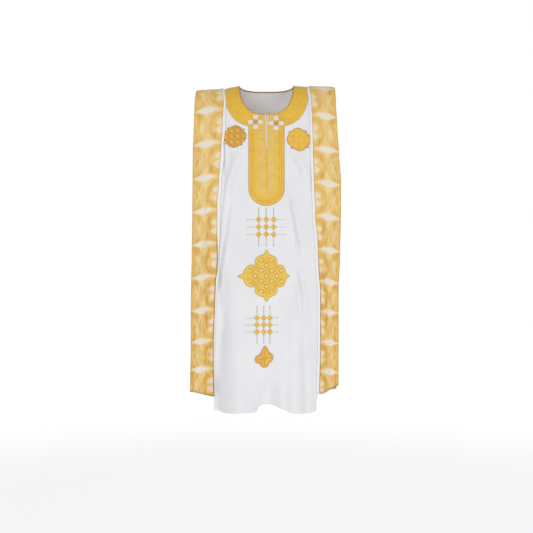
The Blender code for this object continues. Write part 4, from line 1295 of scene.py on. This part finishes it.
for side, x, down, radius, turned, strength, shade_share in ROSETTE_ROWS:
    def outline(angle):
        return radius * rosette_outline(angle)

    motif(f"gold_rosette_{side}", (x, down), outline, rosette_relief, ROSETTE_FACETS, gold_thread, strength,
          turned, shade_share)
    outlined(f"rosette_edge_{side}", (x, down), outline, ROSETTE_EDGE_SHARE, ROSETTE_EDGE_HALF_WIDTH,
             turned=turned)
    tips = []
    for angle in turned + np.pi / 4 + np.pi / 2 * np.arange(4):
        reach = ROSETTE_TIP_PLACE * radius
        tip = worn((x, down), reach * np.cos(angle), reach * np.sin(angle))
        tips.append(satin_spot(*tip, ROSETTE_TIP_HALF, 1))
    embroidered(f"rosette_tips_{side}", tips, dark_thread, PATCH_RISE + PATCH_EDGE_LIFT, SPOT_FLATNESS,
                SPOT_FACETS)

# Knot medallion: four lobes of interlaced bands in gold satin stitch, each lobe drawn out to a point. Small
# pale spots fill the openings between the bands, and a dark cord edges it.
KNOT_PLACE = (0.0003, 0.673)
KNOT_RADIUS = 0.0925
KNOT_FIT = {"width": KNOT_RADIUS, "squeeze": 0.11}
KNOT_CELL = 0.0185
KNOT_FACETS = (328, 96)
KNOT_EDGE_POINTS = 280
KNOT_EDGE_SHARE = 0.985
KNOT_EDGE_HALF_WIDTH = 0.0007
# Openings of a quarter of the knot, in cells
KNOT_EYES = ((0, 0), (1, 0), (1, 1), (2, 1), (1, 2))
KNOT_EYE_HALF = 0.0036
KNOT_EYE_LIFT = 0.0012
KNOT_EYE_FACETS = 10
KNOT_STRANDS = 3
# How far the painted shade of the turned threads shows
KNOT_SHADE_SHARE = 0.60
# Reach of a lobe, what its sides lose, and how late they turn in
KNOT_LOBE = (0.81, 0.25, 4.3)
# Height of a lobe's point, how narrow it is, and how hollow
KNOT_TIP = (0.19, 10, 1.3)
# Middle and half width of the band round the edge, where the bands inside it end, and how softly
KNOT_RIM = (0.96, 0.11)
KNOT_INSIDE = (0.90, 0.06)
KNOT_RIM_LEVEL = 0.60
KNOT_RIM_RUN = 0.70
# Where the smooth tips start, as a share of the radius, how softly, and their height
KNOT_TIPS = (0.68, 0.07, 0.95)
# Valley colours are painted shade between rows, and the turned colour is painted shade on threads that lie
# the other way
YELLOW_BRIGHT = (0.930, 0.645, 0.072, 1.0)
YELLOW_MIDDLE = (0.860, 0.575, 0.052, 1.0)
YELLOW_VALLEY_SHADE = (0.620, 0.345, 0.040, 1.0)
YELLOW_TURNED_SHADE = (0.880, 0.480, 0.105, 1.0)
PALE_BRIGHT = (0.960, 0.860, 0.620, 1.0)
PALE_MIDDLE = (0.940, 0.800, 0.500, 1.0)
PALE_VALLEY_SHADE = (0.800, 0.560, 0.200, 1.0)


def knot_outline(angle):
    turn = np.abs((angle / (np.pi / 2) + 0.5) % 1 - 0.5)
    reach, loss, lateness = KNOT_LOBE
    height, narrowness, hollow = KNOT_TIP
    lobe = reach - loss * (2 * turn) ** lateness
    return KNOT_RADIUS * (lobe + height * np.maximum(0.0, 1 - turn * narrowness) ** hollow)


def knot_relief(across, along, share):
    """Bands in the middle, and one smooth band round the edge, whose threads run in towards the middle."""
    height, run, painted_shade = basket(across, along, KNOT_CELL, KNOT_STRANDS)
    rim_middle, rim_half = KNOT_RIM
    inside_end, inside_width = KNOT_INSIDE
    tip_start, tip_width, tip_height = KNOT_TIPS
    rim = np.sqrt(np.maximum(1 - ((share - rim_middle) / rim_half) ** 2, 0.0))
    inside = smooth((inside_end - share) / inside_width)
    tips = smooth((np.hypot(across, along) / KNOT_RADIUS - tip_start) / tip_width)
    height = height * (KNOT_RIM_LEVEL + (1 - KNOT_RIM_LEVEL) * inside)
    height = height + (tip_height - height) * tips
    round_edge = KNOT_RIM_RUN * KNOT_RADIUS * np.abs(np.arctan2(along, across))
    run = np.where((rim > height) | (tips > 0.5), round_edge, run)
    return np.maximum(height, rim), run, painted_shade * inside * (1 - tips)


yellow_thread = thread("yellow_gold_thread", YELLOW_BRIGHT, YELLOW_MIDDLE, YELLOW_VALLEY_SHADE, YELLOW_TURNED_SHADE)
motif("gold_knot_medallion", KNOT_PLACE, knot_outline, knot_relief, KNOT_FACETS, yellow_thread,
      shade_share=KNOT_SHADE_SHARE, **KNOT_FIT)
outlined("knot_edge", KNOT_PLACE, knot_outline, KNOT_EDGE_SHARE, KNOT_EDGE_HALF_WIDTH, KNOT_EDGE_POINTS,
         **KNOT_FIT)
eyes = {(a * p, b * q) for p, q in KNOT_EYES for a in (-1, 1) for b in (-1, 1)}
eyes |= {(q, p) for p, q in eyes}
eye_lines = []
for p, q in sorted(eyes):
    middle = worn(KNOT_PLACE, (p + q) * KNOT_CELL, (p - q) * KNOT_CELL, **KNOT_FIT)
    eye_lines.append(satin_spot(*middle, KNOT_EYE_HALF, 2))
pale_thread = thread("pale_cream_thread", PALE_BRIGHT, PALE_MIDDLE, PALE_VALLEY_SHADE, PALE_MIDDLE)
embroidered("knot_cream_eyes", eye_lines, pale_thread, PATCH_RISE + KNOT_EYE_LIFT, SPOT_FLATNESS,
            KNOT_EYE_FACETS)

# Clover: a small leaf motif near the hem in gold satin stitch, with two side leaves, one below and a narrow
# pointed one above, each outlined by a dark cord.
CLOVER_PLACE = (-0.0055, 0.961)
CLOVER_RADIUS = 0.0365
CLOVER_FIT = {"width": 0.88 * CLOVER_RADIUS, "squeeze": 0.11, "slant": 0.14}
CLOVER_FACETS = (160, 34)
CLOVER_EDGE_SHARE = 0.96
CLOVER_EDGE_HALF_WIDTH = 0.0013
# Reach between the leaves, what a leaf's middle adds, and its bluntness
CLOVER_LEAF = (0.58, 0.30, 0.8)
# Height of the upper leaf's point, how narrow it is, and how hollow
CLOVER_POINT = (0.34, 2.4, 1.3)
# Crest of the leaves, as the share of the outline where it lies, its half width, and how flat it is
CLOVER_CREST = (0.55, 0.60, 0.4)
CLOVER_DIP = 0.62
# Painted shade of the threads that lie the other way, at the edge and on the left, and where each starts
CLOVER_EDGE_SHADE = (0.60, 0.72)
CLOVER_LEFT_SHADE = (0.50, 0.10)
CLOVER_VEIN_HALF_WIDTH = 0.0008
CLOVER_VEIN_LIFT = 0.0016
CLOVER_VEIN_POINTS = 14
# Veins, as shares of the size: x and height at the start, then at the end
CLOVER_VEINS = (
    (0.00, 0.08, 0.03, 0.84), (-0.10, -0.02, -0.70, -0.06),
    (0.10, 0.00, 0.70, 0.05), (0.00, -0.10, 0.02, -0.70),
)


def clover_outline(angle):
    between, middle, bluntness = CLOVER_LEAF
    height, narrowness, hollow = CLOVER_POINT
    leaves = between + middle * np.abs(np.cos(2 * angle)) ** bluntness
    point = height * np.maximum(0.0, 1 - np.abs(angle - np.pi / 2) * narrowness) ** hollow
    return CLOVER_RADIUS * (leaves + point)


def clover_relief(across, along, share):
    """Leaves that swell along their middles, with a shallow dip between neighbours."""
    crest, crest_half, flatness = CLOVER_CREST
    edge_shade, edge_start = CLOVER_EDGE_SHADE
    left_shade, left_start = CLOVER_LEFT_SHADE
    leaf = np.abs(np.cos(2 * np.arctan2(along, across))) ** flatness
    ring = np.sqrt(np.maximum(1 - ((share - crest) / crest_half) ** 2, 0.0))
    # Painted shade on the left and at the edge, where the threads lie the other way
    painted_shade = np.where(across > left_start * CLOVER_RADIUS, 0.0, left_shade)
    painted_shade = np.where(share > edge_start, edge_shade, painted_shade)
    return np.maximum(leaf * ring, CLOVER_DIP), across + along, painted_shade


motif("gold_clover", CLOVER_PLACE, clover_outline, clover_relief, CLOVER_FACETS, gold_thread, **CLOVER_FIT)
outlined("clover_edge", CLOVER_PLACE, clover_outline, CLOVER_EDGE_SHARE, CLOVER_EDGE_HALF_WIDTH, **CLOVER_FIT)
veins = []
for row in CLOVER_VEINS:
    across, along = np.linspace(row[:2], row[2:], CLOVER_VEIN_POINTS).T * CLOVER_RADIUS
    veins.append((*worn(CLOVER_PLACE, across, along, **CLOVER_FIT), CLOVER_VEIN_HALF_WIDTH))
corded("clover_veins", veins, dark_thread, PATCH_RISE + CLOVER_VEIN_LIFT)

# Diamond grids: two sets of nine small satin stitch diamonds in gold, on thin lines of stem stitch in fawn
# thread that run on past them and end in dots.
DIAMOND_HALF = 0.0108
# Name, x, height below the shoulder line, pitch across and along, reach of the side lines, and squeeze
GRID_ROWS = (
    ("upper", -0.001, 0.503, 0.0261, 0.0261, 0.0410, 0.0),
    ("lower", -0.0095, 0.844, 0.0226, 0.0244, 0.0340, 0.05),
)
LINE_REACH = 0.0390
LINE_HALF_WIDTH = 0.00085
SIDE_LINE_HALF_WIDTH = 0.00050
LINE_POINTS = 60
LINE_LIFT = 0.0003
DIAMOND_LIFT = 0.0008
DIAMOND_FLATNESS = 0.16
DOT_HALF = 0.0019
SIDE_DOT_HALF = 0.00133
# The valley colour is painted shade between rows
FAWN_BRIGHT = (0.560, 0.440, 0.270, 1.0)
FAWN_MIDDLE = (0.470, 0.370, 0.240, 1.0)
FAWN_VALLEY_SHADE = (0.300, 0.230, 0.150, 1.0)

fawn_thread = thread("fawn_thread", FAWN_BRIGHT, FAWN_MIDDLE, FAWN_VALLEY_SHADE, FAWN_MIDDLE)
ends = np.linspace(-1, 1, LINE_POINTS)
for which, middle_x, middle_down, pitch_x, pitch_path, side_reach, squeeze in GRID_ROWS:
    place, fit = (middle_x, middle_down), {"width": pitch_x, "squeeze": squeeze}
    diamonds, lines = [], []
    for number in (-1, 0, 1):
        for row in (-1, 0, 1):
            middle = worn(place, number * pitch_x, row * pitch_path, **fit)
            diamonds.append(satin_spot(*middle, DIAMOND_HALF, 1))
        down_line = number * pitch_x + 0 * ends, (pitch_path + LINE_REACH) * ends
        side_line = (pitch_x + side_reach) * ends, number * pitch_path + 0 * ends
        for line, half_width, dot_half in (
            (down_line, LINE_HALF_WIDTH, DOT_HALF), (side_line, SIDE_LINE_HALF_WIDTH, SIDE_DOT_HALF),
        ):
            x, path = worn(place, *line, **fit)
            lines.append((x, path, half_width))
            lines += [satin_spot(x[end], path[end], dot_half, 2) for end in (0, -1)]
    embroidered(f"gold_diamonds_{which}", diamonds, gold_thread, COTTON_WALL / 2 + DIAMOND_LIFT,
                DIAMOND_FLATNESS, solid=f"diamond_grid_{which}")
    corded(f"fawn_lines_{which}", lines, fawn_thread, COTTON_WALL / 2 + LINE_LIFT)
